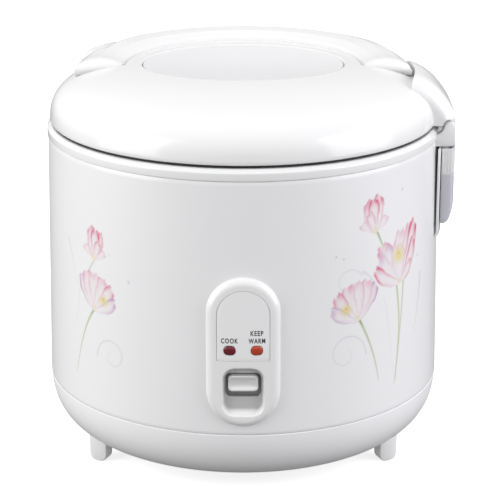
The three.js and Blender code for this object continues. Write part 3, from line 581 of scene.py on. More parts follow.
def petal(colour, u, v, at_u, at_v, lean, length, width, bend, tone, depth, seed):
    """One petal of soft ink: pale inside, deeper along its ragged edge and at its tip."""
    a = math.radians(lean)
    du, dv = u - at_u, v - at_v
    along = (du * math.sin(a) + dv * math.cos(a)) / length
    across = du * math.cos(a) - dv * math.sin(a)
    across = across - bend * np.clip(along, 0, 1) ** 2
    along = along + 0.03 * np.sin(across * 1.1 + seed) + 0.015 * np.sin(across * 2.9 + 2 * seed)
    t = np.clip(along, 0, 1)
    ragged = 1 + 0.07 * np.sin(t * 9 + seed) + 0.04 * np.sin(t * 21 + 2 * seed)
    half = width / 2 * 1.15 * t**0.6 * np.sqrt(1 - t**5) * ragged + 0.12
    share = np.abs(across) / half
    inside = smooth((1.05 - share) / 0.2) * smooth((along + 0.02) / 0.05) * smooth((1.0 - along) / 0.05)
    edge = smooth((share - 0.5) / 0.42)
    streak = 0.5 + 0.5 * np.sin(across / half * (3.4 + seed % 2) + 2.2 * np.sin(t * 5 + seed))
    tip = smooth((t - 0.7) / 0.28)
    side = 0.5 + 0.5 * np.sin(2.1 * seed) * np.sign(across)
    deep = (0.55 + 0.65 * side) * edge * (0.25 + 0.75 * t) + 0.75 * tip * (0.35 + 0.65 * streak)
    deep = np.clip(deep + 0.3 * streak * t * smooth((share - 0.1) / 0.4), 0, 1) * depth
    pale = tint(np.ones_like(colour), (0.94, 0.82, 0.84), 0.25 + 0.25 * t)
    inked = tint(pale, tone, deep)
    return colour + (inked - colour) * (inside * 0.95)[..., None]


def nearest(path, u, v):
    """For each place, its gap to a path of points, and which stretch and share of it are nearest."""
    best = np.full(u.shape, 1e9)
    stretch, share = np.zeros(u.shape), np.zeros(u.shape)
    for k in range(len(path) - 1):
        p, d = path[k], path[k + 1] - path[k]
        s = np.clip(((u - p[0]) * d[0] + (v - p[1]) * d[1]) / (d @ d + 1e-9), 0, 1)
        gap = np.hypot(u - p[0] - s * d[0], v - p[1] - s * d[1])
        closer = gap < best
        best = np.where(closer, gap, best)
        stretch = np.where(closer, k, stretch)
        share = np.where(closer, s, share)
    return best, stretch, share


def stroke(colour, u, v, points, width, tone, cover, taper=True, steps=28):
    """A soft line through control points, on a curve that leaves the first and reaches the last."""
    points = np.asarray(points, float)
    t = np.linspace(0, 1, steps)
    order = len(points) - 1
    path = sum(
        math.comb(order, i) * ((1 - t) ** (order - i) * t**i)[:, None] * points[i] for i in range(order + 1)
    )
    best, stretch, share = nearest(path, u, v)
    where = (stretch + share) / (steps - 1)
    half = width / 2 * (1 - 0.75 * where if taper else 1)
    soft = smooth((half + 0.35 - best) / 0.7)
    return tint(colour, tone, soft * cover)


def curl(colour, u, v, at_u, at_v, radius, start, sweep, width, tone, cover):
    """A spiral tendril that winds in to a point."""
    angle = np.radians(start + np.linspace(0, sweep, 60))
    reach = radius * (1 - 0.82 * np.linspace(0, 1, 60) ** 0.8)
    path = np.stack([at_u + reach * np.cos(angle), at_v + reach * np.sin(angle)], 1)
    best, stretch, _ = nearest(path, u, v)
    fade = 1 - 0.7 * stretch / len(path)
    return tint(colour, tone, smooth((width / 2 + 0.35 - best) / 0.7) * cover * fade)


def spot(colour, u, v, at_u, at_v, radius, tone, cover):
    gap = np.hypot(u - at_u, v - at_v)
    return tint(colour, tone, smooth((radius + 0.5 - gap) / (0.6 + radius * 0.6)) * cover)


PINK = (0.80, 0.13, 0.27)
ROSE = (0.84, 0.27, 0.42)
LILAC = (0.60, 0.36, 0.62)
YELLOW = (0.90, 0.78, 0.20)
STEM = (0.40, 0.52, 0.15)
DARK_STEM = (0.16, 0.24, 0.12)
MIST = (0.42, 0.44, 0.52)

# Petals are (lean in degrees from upright, length, width, bend, tone, depth), back ones first
BIG_BLOOM = [
    (-24, 34, 17, -5, ROSE, 0.8), (2, 36, 17, 0, ROSE, 0.5), (24, 40, 15, -4, ROSE, 0.8),
    (38, 41, 14, -11, PINK, 1.0), (-40, 30, 17, 5, LILAC, 0.55), (-4, 27, 17, 0, ROSE, 0.35),
    (-60, 27, 17, 7, LILAC, 0.6), (-78, 26, 12, 8, PINK, 0.95), (50, 30, 11, -10, PINK, 1.0),
    (64, 18, 8, -6, PINK, 0.9),
]
SIDE_BLOOM = [
    (44, 27, 11, -5, LILAC, 0.85), (24, 28, 14, -3, ROSE, 0.6), (-2, 27, 15, 1, ROSE, 0.5),
    (-30, 26, 15, 4, ROSE, 0.65), (-54, 25, 13, 6, PINK, 0.7), (-76, 22, 11, 5, LILAC, 0.85),
]
CLOSED_BLOOM = [
    (-46, 16, 10, -3, ROSE, 0.4), (40, 17, 9, 3, ROSE, 0.4), (-26, 27, 14, 5, PINK, 0.95),
    (16, 29, 14, -5, PINK, 0.85), (-6, 26, 13, 1, PINK, 1.0), (-20, 18, 9, 0, ROSE, 0.9),
]


def bloom(colour, u, v, at_u, at_v, petals, scale, mirror, heart):
    """A flower from a list of petals, with a yellow heart at a share of its height."""
    for i, (lean, length, width, bend, tone, depth) in enumerate(petals):
        colour = petal(
            colour, u, v, at_u, at_v, mirror * lean, length * scale, width * scale,
            mirror * bend * scale, tone, depth, 1.7 * i + 0.6 * mirror,
        )
    if heart:
        colour = spot(colour, u, v, at_u - mirror * heart[0], at_v + heart[1], heart[2] * 1.7, YELLOW, 0.3)
        colour = spot(colour, u, v, at_u - mirror * heart[0], at_v + heart[1], heart[2], YELLOW, 0.6)
        colour = spot(colour, u, v, at_u - mirror * heart[0], at_v + heart[1] + 1, 1.0, (0.85, 0.5, 0.15), 0.5)
    return spot(colour, u, v, at_u, at_v + 1.5, 2.4, YELLOW, 0.35)


def printed(u, v):
    """The print's colour at places on the drum: u round it from the front, v up it, in millimetres."""
    colour = np.ones(u.shape + (3,))
    # right group
    colour = stroke(colour, u, v, [(131, 128), (130, 112), (123, 92)], 1.6, MIST, 0.35)
    colour = stroke(colour, u, v, [(92, 122), (98, 100), (101, 70)], 0.5, MIST, 0.22)
    colour = curl(colour, u, v, 63, 92, 15, -10, 420, 0.6, MIST, 0.42)
    colour = curl(colour, u, v, 64, 136, 11, 20, 330, 1.0, MIST, 0.2)
    colour = stroke(colour, u, v, [(75, 142), (82, 137), (86, 131)], 1.4, MIST, 0.25)
    colour = stroke(colour, u, v, [(85, 165), (90, 156), (94, 148)], 1.3, STEM, 0.7, taper=False)
    colour = stroke(colour, u, v, [(85, 166), (86.5, 163), (88.5, 159)], 1.2, DARK_STEM, 0.55)
    colour = stroke(colour, u, v, [(103, 128), (108, 106), (106, 90), (102, 64)], 1.7, STEM, 0.62)
    colour = stroke(colour, u, v, [(110, 128), (109, 108), (105, 84), (103, 66)], 1.5, STEM, 0.55)
    colour = stroke(colour, u, v, [(72, 113), (80, 99), (85, 86), (88, 70)], 1.8, STEM, 0.66)
    colour = stroke(colour, u, v, [(71.5, 114), (73, 111), (75, 108)], 1.6, DARK_STEM, 0.6)
    colour = bloom(colour, u, v, 84, 164, CLOSED_BLOOM, 0.8, 1, None)
    colour = bloom(colour, u, v, 106, 128, BIG_BLOOM, 0.94, 1, (1, 18, 4.6))
    colour = bloom(colour, u, v, 71, 112, SIDE_BLOOM, 0.92, 1, (8, 8, 3.2))
    for x, y, r in ((108, 186, 0.9), (56, 154, 0.7), (61, 152, 0.6), (127, 140, 0.8)):
        colour = spot(colour, u, v, x, y, r, MIST, 0.45)
    # left group
    colour = stroke(colour, u, v, [(-127, 152), (-121, 140), (-117, 124)], 1.3, MIST, 0.22)
    colour = stroke(colour, u, v, [(-112, 132), (-114, 118), (-118, 98)], 0.9, STEM, 0.24)
    colour = curl(colour, u, v, -84, 86, 13, 190, -430, 0.8, MIST, 0.34)
    colour = stroke(colour, u, v, [(-98, 145), (-101, 141), (-105, 135)], 1.0, STEM, 0.5, taper=False)
    colour = stroke(colour, u, v, [(-99, 113), (-108, 102), (-112, 90), (-118, 68)], 1.7, STEM, 0.6)
    colour = stroke(colour, u, v, [(-98.5, 114), (-100, 112), (-102, 109)], 1.5, DARK_STEM, 0.5)
    colour = bloom(colour, u, v, -99, 144, CLOSED_BLOOM, 0.72, -1, None)
    colour = bloom(colour, u, v, -99, 112, SIDE_BLOOM, 0.9, -1, (8, 8, 3.0))
    for x, y, r in ((-71, 136, 1.0), (-86, 150, 0.5)):
        colour = spot(colour, u, v, x, y, r, MIST, 0.35)
    return colour


# ---------------------------------------------------------------- drum
WINDOW_HALF = 7.0  # degrees each side of the front, hidden behind the panel
PRINT_BANDS = ((24.0, 63.5), (-61.5, -31.0))  # degrees from the front, positive towards the hinge


def drum_columns(step):
    """Angles round the drum from the front, close together where it is printed."""
    angles = set(np.round(np.arange(-180, 180, 3.0), 4))
    for low, high in PRINT_BANDS:
        angles = {a for a in angles if not low < a < high}
        angles |= set(np.round(np.linspace(low, high, int((high - low) / math.degrees(step / DRUM_R)) + 1), 4))
    angles |= {-WINDOW_HALF, WINDOW_HALF}
    return sorted(angles)


def build_drum():
    step = sizes().print_step / MM
    low, high = DRUM_LOW[2], DRUM_HIGH[2]
    window = (60.0, 136.0)
    rows = [low, low + 0.5, 49.5, CURVE_Z, 56.0, window[0]]
    rows += list(np.arange(63.0, 192.0, step))
    rows += [196.0, 200.0, high - 0.6, high]
    top_row = min(range(len(rows)), key=lambda k: abs(rows[k] - window[1]))
    low_row = rows.index(window[0])
    columns = drum_columns(step)
    left, right = columns.index(-WINDOW_HALF), columns.index(WINDOW_HALF)
    count, levels = len(columns), len(rows)
    theta = np.radians(columns)

    def ring(z, inset):
        radius = skin_radius(z, inset)
        return np.stack([radius * np.sin(theta), -radius * np.cos(theta), np.full(count, z)], 1)

    outer = np.concatenate([ring(z, 0.25 if k in (0, levels - 1) else 0.0) for k, z in enumerate(rows)])
    inner = [ring(rows[k], 1.0) for k in (0, low_row, top_row, levels - 1)]
    points = np.concatenate([outer, *inner])
    base = levels * count
    sole, sill, lintel, crown = (base + k * count for k in range(4))
    faces = []
    for j in range(levels - 1):
        for i in range(count):
            if low_row <= j < top_row and left <= i < right:
                continue
            n = (i + 1) % count
            faces.append((j * count + i, j * count + n, (j + 1) * count + n, (j + 1) * count + i))
    last = (levels - 1) * count
    for i in range(count):
        n = (i + 1) % count
        faces.append((sole + i, sole + n, n, i))
        faces.append((last + i, last + n, crown + n, crown + i))
        if left <= i < right:
            faces.append((low_row * count + i, low_row * count + n, sill + n, sill + i))
            faces.append((lintel + i, lintel + n, top_row * count + n, top_row * count + i))
    for side in (left, right):
        edge = [j * count + side for j in range(low_row, top_row + 1)]
        faces.append(tuple([*edge, lintel + side, sill + side]))
    # the plain inside wall, in strips a few columns wide
    stops = [0]
    while stops[-1] < count:
        here = stops[-1]
        n = here
        while n < count and n - here < 12 and (n == here or n not in (left, right)):
            if abs(columns[n % count] - columns[here]) > 5.5:
                break
            n += 1
        stops.append(max(n, here + 1))
    stops = sorted(set(min(s, count) for s in stops) | {left, right})
    for a, b in zip(stops[:-1], stops[1:]):
        span = [k % count for k in range(a, b + 1)]
        if left <= a < right:
            faces.append(tuple([sole + k for k in span] + [sill + k for k in reversed(span)]))
            faces.append(tuple([lintel + k for k in span] + [crown + k for k in reversed(span)]))
            continue
        face = [sole + k for k in span]
        if b == left:
            face += [sill + left, lintel + left]
        face += [crown + k for k in reversed(span)]
        if a == right:
            face += [lintel + right, sill + right]
        faces.append(tuple(face))
    obj = piece("enamelled_drum", points, faces, enamel(), sharp=45)
    place = np.array([v.co for v in obj.data.vertices])
    x, y, v = ((place - AXIS) / MM).T
    u = np.arctan2(x, -y) * DRUM_R
    colour = np.ones((len(x), 4))
    near = (np.hypot(x, y) > DRUM_R - 0.5) & (v > 60) & (v < 193) & (np.abs(u) > 60 * 0.8) & (np.abs(u) < 138)
    colour[near, :3] = printed(u[near], v[near])
    layer = obj.data.color_attributes.new("print", "FLOAT_COLOR", "POINT")
    layer.data.foreach_set("color", colour.astype(np.float32).ravel())
    settled(obj, "root", "drum_enamel", "outer_drum")


# ---------------------------------------------------------------- ring and hinge bracket
def build_ring():
    top, out = RIM - 0.3, DRUM_R + RING_PROUD
    skirt = DRUM_R - 1.3
    outline = filleted([
        (skirt - 1.6, RIM - 14, 0.3), (skirt, RIM - 14, 0.3), (skirt, RIM - 7.2, 0), (out, RIM - 7.2, 0.35),
        (out, RIM - 0.3 - 2.2, 1.2), (out - 2.4, top, 1.6), (107.2, top, 0.4), (107.2, RIM - 4.9, 0.3),
        (101.3, RIM - 4.9, 0.2), (101.3, RIM - 7.4, 0.2), (skirt - 1.6, RIM - 7.4, 0),
    ], 4)
    ring = turned("rim_ring", outline, white(), sides=240, sharp=30)
    half = 8.5
    slot = block("slot", (106.3, -half, RIM - 12), (skirt - 2.0, half, RIM + 3), 0.8, white())
    cut(ring, [spun(slot, BUTTON_ANGLE)], sharp=30)
    settled(ring, "root", "gloss_white", "top_ring")


def build_bracket():
    """Two ears on a ledge, whose front edge curls up from the ring."""
    ledge, under = RIM - 7.2, RIM - 11.4
    half, ear = 30.8, 6.4
    x, z, r = PIVOT_X, PIVOT_Z, 3.4
    sole = [(112.0, under + 0.4), (x - 4, under), (x + r - 1.8, under + 0.2), (x + r - 0.5, under + 0.9)]
    around = [(x + r * math.cos(a), z + r * math.sin(a)) for a in np.radians(np.linspace(0, 120, 14))]
    ear_line = [(x + r, under + 2.4), (x + r, z - 3)] + around + [
        (x - 2.9, z + 1.7), (x - 3.5, z - 0.2), (x - 4.5, z - 2.2), (x - 6.2, z - 4.0), (x - 8.8, z - 5.4),
        (x - 11.8, z - 6.3), (112.0, z - 6.6), *sole,
    ]
    floor_line = [(x + r, under + 2.4), (x + r, ledge - 0.8), (x + r - 0.8, ledge), (112.0, ledge), *sole]
    rounding = (
        (0, 0.9), (0.05, 0.42), (0.14, 0.1), (0.3, 0), (0.7, 0), (0.86, 0.1), (0.95, 0.42), (1, 0.9),
    )
    core_r = DRUM_R + RING_PROUD - 0.4
    parts = []
    for line, y0, y1 in (
        (ear_line, -half, -half + ear), (floor_line, -half + 1.5, half - 1.5), (ear_line, half - ear, half),
    ):
        stations = [(y0 + share * (y1 - y0), inset) for share, inset in rounding]
        rings = prism(line, stations, np.mean(line, axis=0), 6.0)
        parts.append(lofted("part", rings, white(), sharp=30))
    for part in parts:
        core = turned("core", [(0, 0), (core_r, 0), (core_r, 300), (0, 300)], white(), sides=240)
        cut(part, [core], sharp=30)
    bracket = joined("hinge_ledge", parts, white())
    settled(bracket, "root", "gloss_white", "hinge_bracket")


# ---------------------------------------------------------------- base and feet
def build_base():
    seam, wall = BASE_HIGH[2] - 5.4, 2.5

    def skin(inset, count):
        heights = seam - (seam - FOOT_H - inset) * np.sin(np.linspace(0, math.pi / 2, count))
        return [(skin_radius(z, inset), z) for z in heights]

    curve, inside = skin(0.0, 34), skin(wall, 20)
    collar = skin_radius(CURVE_Z) - 1.9
    outline = [(58.0, FOOT_H + wall), *inside[::-1], (collar - 1.5, CURVE_Z + 1), (collar, CURVE_Z + 1),
               (collar, seam + 0.1), (curve[0][0] - 0.35, seam), (curve[0][0], seam - 0.35), *curve[1:], (58.0, FOOT_H)]
    base = turned("rounded_base", outline, base_white(), sides=200, sharp=30)
    cutters = []
    for turn in (90, 210, 330):
        a = math.radians(turn)
        centre = (66 * math.cos(a), 66 * math.sin(a))
        bore = turned("bore", [(0, 0), (4.4, 0), (4.4, FOOT_H + 1.2), (0, FOOT_H + 1.2)], base_white(), 32, centre)
        cutters.append(bore)
    cutters.append(block("window", (-9.1, 60, 24.0), (9.1, 150, 36.0), 3.0, base_white()))
    cut(base, cutters, sharp=30)
    settled(base, "root", "gloss_white", "base_shell")


# Each foot's place round the base and the way that its broad side faces, in degrees from the front
FEET = {
    "front_left": (-60.4, -24.0), "front_right": (60.4, 24.0),
    "rear_right": (119.6, 156.0), "rear_left": (240.4, 204.0),
}
FOOT_RING = 103.8  # radius of the circle that the feet stand on


def build_feet():
    stations = ((-4.5, 0.8), (-4.25, 0.3), (-3.7, 0), (3.7, 0), (4.25, 0.3), (4.5, 0.8))
    outline = filleted([(-6, 0, 5.9), (6, 0, 5.9), (6, 20, 0.5), (-6, 20, 0.5)], 8)
    for name, (angle, facing) in FEET.items():
        turn, place = math.radians(facing), math.radians(angle)
        rings = []
        for y, inset in stations:
            loop = []
            for px, pz in outline:
                x, z = px * (1 - inset / 6), pz + inset * (1 - pz / 10)
                loop.append((
                    FOOT_RING * math.sin(place) + x * math.cos(turn) - y * math.sin(turn),
                    -FOOT_RING * math.cos(place) + x * math.sin(turn) + y * math.cos(turn), z,
                ))
            rings.append(loop)
        foot = lofted("foot_tab_" + name, rings, base_white(), sharp=32)
        settled(foot, "root", "gloss_white", "foot_" + name)


# ---------------------------------------------------------------- front panel
LAMP_RISE, LAMP_SIDE = 21.2, 8.0  # the lenses' places over the knob and beside it
SCOOP_Z = KNOB_Z - 5.1
SCOOP_W, SCOOP_H, SCOOP_CORNER = 25.6, 30.5, 8.0
SCOOP_DEPTH = 4.3
FLANGE_SINK = 2.9  # the knob's flange, under the drum's skin


def on_front(x, z, proud):
    """A point over the drum's front, at a place across it and up it."""
    radius = drum_radius(z) + proud
    x = max(-radius, min(radius, x))
    return (x, -math.sqrt(radius * radius - x * x), z)


def panel_depth(x, z):
    """How far a place is inside the panel's outline, whose ends are half circles."""
    half = (PANEL_HIGH[0] - PANEL_LOW[0]) / 2
    reach = (PANEL_HIGH[2] - PANEL_LOW[2]) / 2 - half
    beyond = max(0.0, abs(z - PANEL_Z) - reach)
    return half - math.hypot(x, beyond)


def scoop_depth(x, z):
    """How far a place is inside the finger scoop's outline, or 0 outside it."""
    dx = abs(x) - (SCOOP_W / 2 - SCOOP_CORNER)
    dz = abs(z - SCOOP_Z) - (SCOOP_H / 2 - SCOOP_CORNER)
    if max(dx, dz) < 0:
        return SCOOP_CORNER - max(dx, dz)
    return max(0.0, SCOOP_CORNER - math.hypot(max(dx, 0), max(dz, 0)))


def panel_height(x, z):
    """Height of the bezel's face over the drum: a soft round edge, a flat face and the scoop."""
    inside = max(0.0, panel_depth(x, z))
    edge = sizes().panel_edge / MM
    t = min(1.0, inside / edge)
    height = -0.5 + 4.0 * (1 - (1 - t) ** 2.4) ** (1 / 1.7)
    gap = scoop_depth(x, z)
    wall = float(smooth(gap / 1.8))
    ramp = float(smooth((z - SCOOP_Z + SCOOP_H / 2) / 4.0))
    return height - SCOOP_DEPTH * min(wall, 0.3 * wall + 0.7 * ramp)


def build_bezel():
    half = (PANEL_HIGH[0] - PANEL_LOW[0]) / 2
    tall = (PANEL_HIGH[2] - PANEL_LOW[2]) / 2
    rows, cols = 240, 120
    outer, inner = np.zeros((rows + 1, cols + 1, 3)), np.zeros((rows + 1, cols + 1, 3))
    for j in range(rows + 1):
        z = PANEL_Z + tall * math.sin(math.pi * (j / rows - 0.5))
        beyond = max(0.0, abs(z - PANEL_Z) - (tall - half))
        wide = math.sqrt(max(0.0, half * half - beyond * beyond))
        for i in range(cols + 1):
            q = 2 * i / cols - 1
            x = wide * (0.55 * q + 0.45 * math.sin(math.pi / 2 * q))
            outer[j, i] = on_front(x, z, panel_height(x, z))
            inner[j, i] = on_front(x, z, -2.2)
    bezel = shell("panel_surround", outer, inner, panel_white_painted_scoop_shade(), sharp=60)
    slot_top, slot_low = KNOB_Z + 5.85, KNOB_Z - 9.15
    slot = across("slot", rounded_rect(21.0, slot_top - slot_low, 3.0), (slot_top + slot_low) / 2, 12, -20)
    recess = label_solid("recess", 0.3, 2.7, 12)
    cut(bezel, [slot, recess, *lamp_holes()], sharp=40)
    # Painted shade: a colour attribute darkens the scoop's floor to 0.63 of the white, in place of the shade inside the
    # recess, and fades out towards the scoop's lower edge.
    painted_scoop_shade = np.ones((len(bezel.data.vertices), 4), np.float32)
    for i, vert in enumerate(bezel.data.vertices):
        x, _, z = (np.array(vert.co) - AXIS) / MM
        floor = smooth((scoop_depth(x, z) - 0.5) / 1.4) * smooth((z - SCOOP_Z + 13.6) / 2.6)
        painted_scoop_shade[i, :3] = 1 - 0.37 * floor
    bezel.data.color_attributes.new("painted_scoop_shade", "FLOAT_COLOR", "POINT").data.foreach_set("color", painted_scoop_shade.ravel())
    settled(bezel, "root", "gloss_white", "panel_bezel")


def across(name, outline, middle, front, back, shift=0.0):
    """A straight bar through the panel, on an outline drawn across and up."""
    rings = [
        [(x + shift, -DRUM_R - front, z + middle) for x, z in outline],
        [(x + shift, -DRUM_R - back, z + middle) for x, z in outline],
    ]
    return lofted(name, rings, white())


def lamp_holes():
    """Two bars through the panel, one for each lens."""
    return [
        across("lamp", rounded_rect(7.3, 6.2, 2.7), KNOB_Z + LAMP_RISE, 12, -20, side * LAMP_SIDE)
        for side in (-1, 1)
    ]


def label_solid(name, grow, low, high, material=None, soft=0.0):
    """The label's shape, with an arched top, between two skins over the drum."""
    half = (LABEL_HIGH[0] - LABEL_LOW[0]) / 2 + grow
    z0, z1 = LABEL_LOW[2] - grow, LABEL_HIGH[2] + grow
    arch = z1 - half
    rows, cols = 70, 40
    outer, inner = np.zeros((rows + 1, cols + 1, 3)), np.zeros((rows + 1, cols + 1, 3))
    for j in range(rows + 1):
        z = z0 + (z1 - z0) * math.sin(math.pi / 2 * j / rows)
        wide = half if z <= arch else math.sqrt(max(0.0, half * half - (z - arch) ** 2))
        for i in range(cols + 1):
            q = 2 * i / cols - 1
            x = wide * math.sin(math.pi / 2 * q)
            edge = min(wide - abs(x), z - z0) if soft else 1
            fall = soft * (1 - smooth(edge / 0.5)) if soft else 0
            outer[j, i] = on_front(x, z, high - fall)
            inner[j, i] = on_front(x, z, low)
    return shell(name, outer, inner, material or white(), sharp=40)


def build_label():
    label = label_solid("lamp_label", 0.0, 2.8, 3.4, panel_grey(), soft=0.18)
    cut(label, lamp_holes(), sharp=40)
    settled(label, "root", "panel_grey", "label_plate")


def build_lenses():
    for name, side, tone, slot in (
        ("cook", -1, colours().cook_lamp, "dark_red_lens"), ("warm", 1, colours().warm_lamp, "orange_lens"),
    ):
        lens_finish = finish(
            name + "_lens_plastic", tuple(tone), 0.16, spread=0.12, mottle=260.0, grain=1200.0, bump=0.05,
            Coat_Weight=0.6, Coat_Roughness=0.06, Transmission_Weight=0.12,
        )
        middle = KNOB_Z + LAMP_RISE

        def front(u, v, share, side=side, middle=middle):
            return on_front(side * LAMP_SIDE + u, middle + v, 3.35 + 0.75 * (1 - share**3.2))

        def back(u, v, side=side, middle=middle):
            return on_front(side * LAMP_SIDE + u, middle + v, -2.3)

        lens = pad(name + "_window", rounded_rect(6.7, 5.6, 2.4), front, back, lens_finish, sharp=50)
        settled(lens, "root", slot, name + "_lens")


# Each word's middle, its foot over the knob, its height and its width
WORDS = (
    ("COOK", -LAMP_SIDE, 25.6, 3.2, 10.1), ("KEEP", LAMP_SIDE, 30.3, 3.1, 7.5), ("WARM", LAMP_SIDE, 25.6, 3.1, 9.9),
)


def build_words():
    """The plain names of the two lamps, as raised ink on the label."""
    ink = finish("printing_ink", (0.035, 0.034, 0.038), 0.5, spread=0.1, mottle=400.0)
    parts = []
    for word, middle, low, cap, width in WORDS:
        curve = bpy.data.curves.new(word, "FONT")
        curve.body = word
        curve.size = 1.0
        curve.offset = 0.028
        curve.space_character = 1.22
        curve.resolution_u = 4
        curve.fill_mode = "FRONT"
        host = bpy.data.objects.new(word, curve)
        bpy.context.scene.collection.objects.link(host)
        flat = evaluated_mesh(host)
        bpy.data.objects.remove(host)
        made = bmesh.new()
        made.from_mesh(flat)
        bmesh.ops.remove_doubles(made, verts=made.verts, dist=1e-5)
        grown_faces = bmesh.ops.extrude_face_region(made, geom=list(made.faces))
        tops = {v for v in grown_faces["geom"] if isinstance(v, bmesh.types.BMVert)}
        span_x = [v.co.x for v in made.verts]
        span_y = [v.co.y for v in made.verts]
        x0, x1, y0, y1 = min(span_x), max(span_x), min(span_y), max(span_y)
        for vert in made.verts:
            x = middle + width * ((vert.co.x - x0) / (x1 - x0) - 0.5)
            z = KNOB_Z + low + cap * (vert.co.y - y0) / (y1 - y0)
            vert.co = Vector(placed([on_front(x, z, 3.44 if vert in tops else 3.3)])[0])
        bmesh.ops.recalc_face_normals(made, faces=made.faces)
        data = bpy.data.meshes.new(word)
        made.to_mesh(data)
        made.free()
        parts.append(shown(word, data, ink))
    words = joined("lamp_words", parts, ink)
    settled(words, "root", "dark_plastic")


def shroud_grey():
    return finish("shroud_grey", (0.38, 0.38, 0.39), 0.4, spread=0.06, mottle=200.0, grain=1800.0, bump=0.08)


def build_knob():
    def front(u, v, share):
        hollow = 1.3 * (1 - (v / 4.75) ** 2) + 0.5 * smooth((share - 0.86) / 0.14)
        return (u, KNOB_LOW[1] + 0.05 + hollow, KNOB_Z + v)

    def back(u, v):
        return (u, KNOB_HIGH[1], KNOB_Z + v)

    knob = pad("switch_knob", rounded_rect(17.6, 9.5, 2.4), front, back, satin_metal(), rings=20, power=0.7, sharp=50)
    settled(knob, "switch", "satin_silver", "cook_knob")
    # a flange behind the opening, which hides the works as the knob moves
    flange_y = -DRUM_R + FLANGE_SINK
    flange = pad(
        "knob_flange", rounded_rect(25.0, 23.0, 3.0), lambda u, v, share: (u, flange_y + 0.2 * share**6, KNOB_Z + v),
        lambda u, v: (u, flange_y + 1.2, KNOB_Z + v), shroud_grey(), rings=8, sharp=40,
    )
    settled(flange, "switch", "dark_plastic")


# ---------------------------------------------------------------- lid
def oval(angle):
    """Radius of the dish's oval opening in a direction."""
    return DISH_A * DISH_B / math.hypot(DISH_B * math.cos(angle), DISH_A * math.sin(angle))


def build_lid():
    seat = HANDLE_SEAT
    angles = set(np.round(np.arange(-180, 180, 2.0), 3))
    beside = (0.08, 0.15, 0.25, 0.35, 0.5, 0.8, 1.1, 1.4, 1.8, 2.4)
    for edge in (-0.95, 180.95 - 360):
        near = {round(edge + d, 3) for d in (*[-b for b in beside], 0, *beside)}
        angles = {a for a in angles if abs(a - edge) > 2.6} | near
    pocket = BUTTON_HALF + math.degrees(0.6 / 97)
    cuts = (round(BUTTON_ANGLE - pocket, 3), round(BUTTON_ANGLE + pocket, 3))
    angles = {a for a in angles if min(abs(a - c) for c in cuts) > 0.6} | set(cuts)
    angles = sorted(angles)
    steps = [(0.0, 1.3), (0.35, 0.45), (0.9, 0.08), (1.6, 0.0)]  # the opening's soft edge: outwards, downwards
    inside = list(np.linspace(0.12, 0.9, 9))
    wall = [(72.2, 0.0), (72.8, 0.1), (73.15, 0.45), (73.35, 1.1), (73.4, 1.9)]
    foot = [(73.42, 0.9), (73.6, 0.3), (74.0, 0.05), (75.0, 0.0)]
    floor = [80.0, 86.0, 92.0, 96.4, 100.0, 103.0, 104.6]
    flank = [105.6, 106.3, 107.5, 109.0, 110.8, 112.6, 113.6, 115.4, 117.0, 118.2, 119.1, 119.8, 120.3, 120.62,
             120.76, 120.8]
    brim = [(120.8, 3.4), (120.74, 2.6), (120.5, 1.95), (119.9, 1.5)]
    count = len(steps) + len(inside) + len(wall) + len(foot) + len(floor) + len(flank) + len(brim)
    outer, inner = np.zeros((count, len(angles), 3)), np.zeros((count, len(angles), 3))
    radii = np.zeros(count)
    for i, degrees in enumerate(angles):
        a = math.radians(degrees)
        behind = math.sin(a)
        # share of the recess: 0 on the front half, 1 behind its two end walls
        from_wall = min(abs(degrees + 0.95), abs(degrees + 179.05)) * (1 if behind > -0.0166 else -1)
        share = float(smooth((from_wall + 0.3) / 0.6))
        under = float(smooth((from_wall + 1.7) / 0.6))
        start = oval(a)
        line = []
        for out, down in steps:
            line.append((start + out, float(dome(start + out)) - down, float(dome(start + out)) - down))
        for t in inside:
            r = start + 1.6 + t * (72.0 - start - 1.6)
            line.append((r, float(dome(r)), float(dome(r))))
        for r, down in wall:
            line.append((r, float(dome(r)), float(dome(r)) - down))
        for r, up in foot:
            line.append((r, float(dome(r)), seat + up))
        for r in floor:
            line.append((r, float(dome(r)), min(seat, float(dome(r)))))
        for r in flank:
            line.append((r, max(4.0, float(dome(r))), max(4.0, min(seat, float(dome(r))))))
        for r, up in brim:
            line.append((r, up, up))
        edge_row = len(line) - len(brim)
        for j, (r, front_z, rear_z) in enumerate(line):
            z = front_z + share * (rear_z - front_z)
            z_in = front_z + under * (rear_z - front_z)
            thin = 2.2
            r_in = r - 2.0 * float(smooth((r - 66) / 5)) * (1 - float(smooth((r - 76) / 8)))
            r_in -= 2.4 * float(smooth((r - 104) / 14))
            z = max(z, 1.5)
            z_low = max(1.5, z_in - thin)
            if j >= edge_row:
                z_low = 1.5
            outer[j, i] = (r * math.cos(a), r * math.sin(a), RIM + z)
            inner[j, i] = (r_in * math.cos(a), r_in * math.sin(a), RIM + z_low)
            radii[j] = r
    skip = np.zeros((count - 1, len(angles)), bool)
    rows = [j for j in range(count - 1) if 96.3 < radii[j] < 113.5]
    for j in rows:
        for i in range(len(angles)):
            if cuts[0] - 0.01 <= angles[i] < cuts[1] - 0.01:
                skip[j, i] = True
    lid = shell("lid_dome", outer, inner, white(), skip=skip, wrap=True, sharp=50)
    settled(lid, "lid", "gloss_white", "lid_cover")


